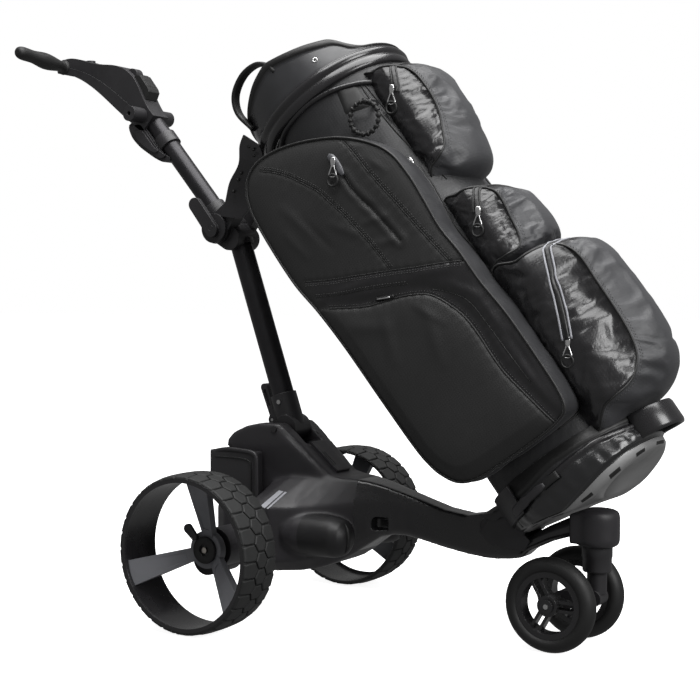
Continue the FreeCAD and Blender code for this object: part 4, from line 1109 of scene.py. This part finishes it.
for hand, word in ((-1, "right"), (1, "left")):
    eye = girdle(MOUTH_OVAL, 813.0, 0.8)
    spot = eye[np.argmin(np.abs(eye[:, 0] - 62) + 1000 * (eye[:, 1] * hand < 0))]
    ring = np.stack([np.cos(TURN[::15]) * 3.4, np.zeros(20), np.sin(TURN[::15]) * 3.4], 1)
    ring[:, 1] = -ring[:, 0] * 0.5 * hand
    tube("collar_eyelet_" + word, bag_points(ring + spot), 1.1 * MM, "bag", PULL, closed=True,
         slot="pull_metal", sides=6)
    arch = smooth_path([(-119, 640), (-112, 690), (-95, 730), (-80, 745), (-57, 753), (-30, 755), (9, 755),
                        (54, 749), (89, 738), (111, 727), (134, 713), (143, 700)], 160)
    tube("barrel_arch_" + word, on_barrel(arch, 2.0, hand), 4.6 * MM, "bag", GUSSET, slot="bag_fabric")
    for k, line in enumerate(([(96, 735), (96, 706), (99, 644), (105, 588), (110, 531)],
                              [(101, 733), (103, 697), (109, 630), (115, 558), (119, 516)])):
        path = on_barrel(smooth_path(line, 60), 0.5, hand)
        tube(f"barrel_line_{word}_{k}", path, 1.2 * MM, "bag", PIPING, slot="bag_fabric", sides=6)
        stitches(f"barrel_thread_{word}_{k}", [on_barrel(smooth_path(line, 60) + (4.5 - 9 * k, 0), 0.4,
                                                         hand)], "bag", THREAD, slot="bag_fabric")
    patch = coons(np.vstack([np.linspace(a, b, 12, endpoint=False) for a, b in (
        ((64, 753), (93, 738)), ((93, 738), (90, 690)), ((90, 690), (54, 698)), ((54, 698), (64, 753)))]),
                  12, 12)
    gap = np.minimum.outer(np.minimum(np.arange(13), 12 - np.arange(13)),
                           np.minimum(np.arange(13), 12 - np.arange(13)))
    flat = patch.reshape(-1, 2)
    raised = np.array([on_barrel(flat[k:k + 1], (0, 1.6, 2.4, 2.8)[min(g, 3)], hand)[0] for k,
                       g in enumerate(gap.ravel())])
    piece("barrel_patch_" + word, raised, sheet_faces(13, 13), "bag", DEEP_BLACK_AND_SHADE, "satin_black")
    slip = on_barrel([(95, 577), (95, 569), (93, 556)], 3.2, hand)
    tube("barrel_slider_" + word, slip, np.array([3.0, 3.4, 1.8]) * MM, "bag", PULL, flat=0.6,
         slot="pull_metal")

# moulded base with a hem, a thick ridge and a shiny wrinkled cover above its pale underside
base_u = 10 + 138 * np.cos(TURN)


def along_base(points):
    level = np.interp(base_u, *np.array(points, float).T)
    return sum(np.roll(level, k) for k in range(-4, 5)) / 9


hem = along_base([(-140, 19), (-65, 23), (-27, 24), (25, 32), (81, 32), (139, 29), (169, 20)])
ridge = along_base([(-140, 0), (-67, 4), (-17, 8), (41, 17), (95, 22), (148, 14)])
hang = along_base([(-140, -15), (-47, -30), (-5, -39), (39, -28), (83, -15), (131, -9), (150, -9)])
sole = along_base([(-140, -20), (-88, -26), (-47, -32), (0, -43), (48, -43), (97, -34), (136, -25),
                   (150, -23)])
rows, kinds = [], []
for level, out, kind in ((47.5, -2, 0), (46.5, 0.6, 0), (hem + 5.5, 0.8, 0), (hem + 3.6, 2.6, 0),
                         (hem, 3.6, 0), (hem - 3.6, 2.6, 0), (hem - 5.2, 1.0, 1)):
    rows.append(girdle(BASE_OVAL, level, out))
    kinds.append(kind)


def wrinkled(level, depth, seed):
    p = np.stack([TURN * 135, np.broadcast_to(level, TURN.shape) * 0.5], 1)
    return depth * (1.2 * ripple(p, 60, seed) + 0.8 * ripple(p, 31, seed + 1) + 0.3 * ripple(p, 15,
        seed + 2))


for k in (0.25, 0.5, 0.75):
    level = (hem - 5.2) * (1 - k) + (ridge + 5.5) * k
    rows.append(girdle(BASE_OVAL, level, 1.4 + wrinkled(level, 0.5, 4)))
    kinds.append(1)
for rise, out in ((5.5, 1.8), (4, 4.2), (1.2, 5.6), (-1.8, 5.2), (-4.5, 3.2)):
    rows.append(girdle(BASE_OVAL, ridge + rise, out))
    kinds.append(2)
for k in np.linspace(0.04, 1, 14):
    level = (ridge - 4.5) * (1 - k) + (hang + 1.5) * k
    rows.append(girdle(BASE_OVAL, level, 2.6 + 1.2 * math.sin(math.pi * k) + wrinkled(level,
        1.5 * math.sin(math.pi * k) + 0.4, 6)))
    kinds.append(3)
for level, out, kind in ((hang + 0.3, 1.6, 3), (hang - 0.3, -2.5, 3),
                         (hang * 0.7 + sole * 0.3 - 0.4, -2.8, 4), (hang * 0.25 + sole * 0.75 - 0.6, -4, 4),
                         (sole - 1.2, -7, 4), (sole - 2.4, -13, 4), (sole - 2.6, -45, 4),
                         (sole - 2.2, -90, 4), (sole - 2, -119, 4)):
    rows.append(girdle(BASE_OVAL, level, out))
    kinds.append(kind)
n = len(TURN)
faces = sheet_faces(len(rows), n, True) + [[(len(rows) - 1) * n + k for k in range(n)]]
shown = [kinds[min(f // n, len(rows) - 1)] for f in range(len(faces))]
first = kinds.index(4)
# near-black dashes along one band of the pale underside: painted shade inside its cut-outs
shown = [5 if f // n == first + 1 and (f % n) % 21 < 8 else k for f, k in enumerate(shown)]
piece("base_shell", bag_points(np.vstack(rows)), faces, "bag", [PIPING, BARREL, GUSSET, COVER, PALE, DEEP_BLACK_AND_SHADE],
      "satin_black", ("bag_base",), shown)
bend = np.linspace(-1.75, 1.75, 60)[:, None]
section = np.array([(5, -6), (5.8, -3), (5.8, 28), (4, 33), (-1, 34), (-2.4, 31), (-2.4, -3), (0, -8),
                    (3, -9)], float)
loop = np.stack([150 + (42 + section[:, 0]) * np.cos(bend), (46 + section[:, 0]) * np.sin(bend),
                 section[:, 1] - 6 * np.maximum(np.cos(bend), 0)], -1)
m = len(section)
piece("base_loop", bag_points(loop.reshape(-1, 3)), sheet_faces(60, m, True) + [list(range(m))[::-1],
      [59 * m + k for k in range(m)]], "bag", GLOSS, "satin_black", crisp=38)
buckle_turn = np.linspace(math.radians(206), math.radians(276), 40)
for hand, word in ((-1, "right"), (1, "left")):
    spots = np.stack([13 + 145 * np.cos(buckle_turn), -hand * 134 * np.sin(buckle_turn),
                      np.linspace(1, 11, 40)], 1)
    tube("base_strap_" + word, bag_points(spots), 6.5 * MM, "chassis", RUBBER, flat=0.3, square=0.5,
         slot="rubber", up=bag_points(spots) - np.array(bag(13, 0, 5)), sides=12,
         stands_for=("base_straps",) if hand > 0 else ())
    clip = bag_points(spots[12:34] + (0, hand * 2.5, 0))
    tube("base_buckle_" + word, clip, np.interp(np.linspace(0, 1, 22), (0, 0.1, 0.5, 0.55, 0.9, 1),
                                                (5, 8, 8, 6, 6, 3)) * MM, "chassis", SATIN_LIGHT, flat=0.35,
         square=0.4, up=clip - np.array(bag(13, 0, 5)), slot="satin_black", sides=12)

grab = smooth_path([(-117, -93, 815), (-124, -96, 856), (-108, -101, 884), (-72, -108, 896),
                    (-36, -114, 889), (-14, -120, 866), (-8, -124, 846)], 70)
tube("grab_strap", bag_points(grab), 9.5 * MM, "bag", RUBBER, sides=16, flat=0.42, square=0.6,
     up=np.gradient(bag_points(grab), axis=0)[:, [2, 1, 0]] * (-1, 0, 1), slot="rubber",
     stands_for=("bag_handle",))


# ---------------------------------------------------------------- zip pulls
PULL_SPOTS = {"side": (7, -164, 632), "upper": (135, -94, 688), "mid": (143, -98, 427),
              "lower": (150, -109, 168)}


def zip_pull(name, spot):
    """Silver slider, a wire in the shape of an upturned V and a rubber ring that hangs from it."""
    node = "zip_pull_" + name
    body = "pull_" + name
    p = np.array(bag(*spot)) / MM
    wire = smooth_path([p + q for q in ((-1, 0, 0), (-3, -0.5, -8), (-6, -0.8, -16), (-6.6, -0.8, -21),
                                        (0, -0.8, -23), (6.6, -0.8, -21), (6, -0.8, -16), (3, -0.5, -8),
                                        (1, 0, 0))], 60)
    tube(node + "_wire", wire * MM, 1.25 * MM, body, PULL, slot="pull_metal", sides=8, stands_for=(node,))
    around = np.stack([9.6 * np.cos(TURN[::6]), np.full(50, -0.8), 9.6 * np.sin(TURN[::6]) - 28.5], 1)
    tube(node + "_ring", (around + p) * MM, 2.1 * MM, body, RUBBER, closed=True, slot="rubber", sides=10)
    slider = smooth_path([p + q for q in ((0, 0.6, 9), (0, 0.4, 5), (0, 0.2, -3), (0, 0.4, -7))], 14)
    tube(node + "_slider", slider * MM, np.interp(np.linspace(0, 1, 14), (0, 0.3, 0.8, 1),
                                                  (3.8, 5, 4, 2.6)) * MM, "bag", PULL, flat=0.5,
         slot="pull_metal", sides=12, square=0.7)


for name, spot in PULL_SPOTS.items():
    zip_pull(name, spot)

# towel ring: thick rubber with notches round its outer edge
p = np.array(bag(99, -127, 690)) / MM
around = np.linspace(0, 2 * np.pi, 144, endpoint=False)
girth = 3.6 + 0.9 * np.sign(np.sin(around * 18))
hoop = np.stack([27 * np.cos(around), np.full(144, -3.2), 27 * np.sin(around) - 27], 1) + p
tube("towel_hoop", hoop * MM, girth * MM, "ring", RUBBER, closed=True, slot="rubber", sides=12,
     stands_for=("towel_ring",), crisp=35)


# ---------------------------------------------------------------- stage
def area_light(name, place, aim, size, power, tint=(1, 1, 1)):
    data = bpy.data.lights.new(name, "AREA")
    data.shape, data.size, data.size_y, data.energy, data.color = "RECTANGLE", size[0], size[1], power, tint
    light = bpy.data.objects.new(name, data)
    bpy.context.scene.collection.objects.link(light)
    light.location = place
    light.rotation_euler = (Vector(aim) - Vector(place)).to_track_quat("-Z", "Y").to_euler()
    return light


def studio():
    """White surroundings, a pale floor and two soft boxes."""
    world = bpy.data.worlds.new("studio")
    bpy.context.scene.world = world
    world.use_nodes = True
    tree = world.node_tree
    seen = tree.nodes.new("ShaderNodeLightPath")
    strength = tree.nodes.new("ShaderNodeMapRange")
    strength.inputs["To Min"].default_value, strength.inputs["To Max"].default_value = 0.22, 1.0
    tree.links.new(seen.outputs["Is Camera Ray"], strength.inputs["Value"])
    tree.nodes["Background"].inputs["Color"].default_value = (1, 1, 1, 1)
    tree.links.new(strength.outputs[0], tree.nodes["Background"].inputs["Strength"])
    bpy.ops.mesh.primitive_plane_add(size=60, location=(0, 0, 0))
    floor = bpy.context.object
    floor.name = "floor"
    paper = Nodes("floor_paper")
    paper.link(paper.tone(paper.noise(3, 3), grey(0.93), grey(0.96)), paper.shader.inputs["Base Color"])
    paper.set(Roughness=0.9, Emission_Color=(1, 1, 1, 1), Emission_Strength=0.9)
    floor.data.materials.append(paper.material)
    floor.visible_diffuse = floor.visible_glossy = False
    area_light("top_box", (0.4, -0.3, 3.4), (0.1, 0, 0.3), (3.4, 3.0), 190)
    area_light("front_box", (3.2, -0.9, 2.0), (0.2, 0, 0.5), (1.6, 1.6), 70)


def camera():
    """The viewpoint: low, from the trolley's right and a little in front."""
    data = bpy.data.cameras.new("camera")
    data.lens, data.sensor_width, data.clip_end = 73.33, 36.0, 100
    cam = bpy.data.objects.new("camera", data)
    bpy.context.scene.collection.objects.link(cam)
    az, el, roll = math.radians(31.77), math.radians(2.17), math.radians(0.14)
    forward = Vector((-math.sin(az) * math.cos(el), math.cos(az) * math.cos(el), -math.sin(el)))
    right = forward.cross(Vector((0, 0, 1))).normalized()
    up = right.cross(forward)
    right, up = right * math.cos(roll) + up * math.sin(roll), up * math.cos(roll) - right * math.sin(roll)
    turn = Matrix((right, up, -forward)).transposed()
    cam.matrix_world = Matrix.Translation((1.36024, -2.13547, 0.56505)) @ turn.to_4x4()
    bpy.context.scene.camera = cam


studio()
camera()
bpy.context.scene.view_settings.view_transform = "Standard"
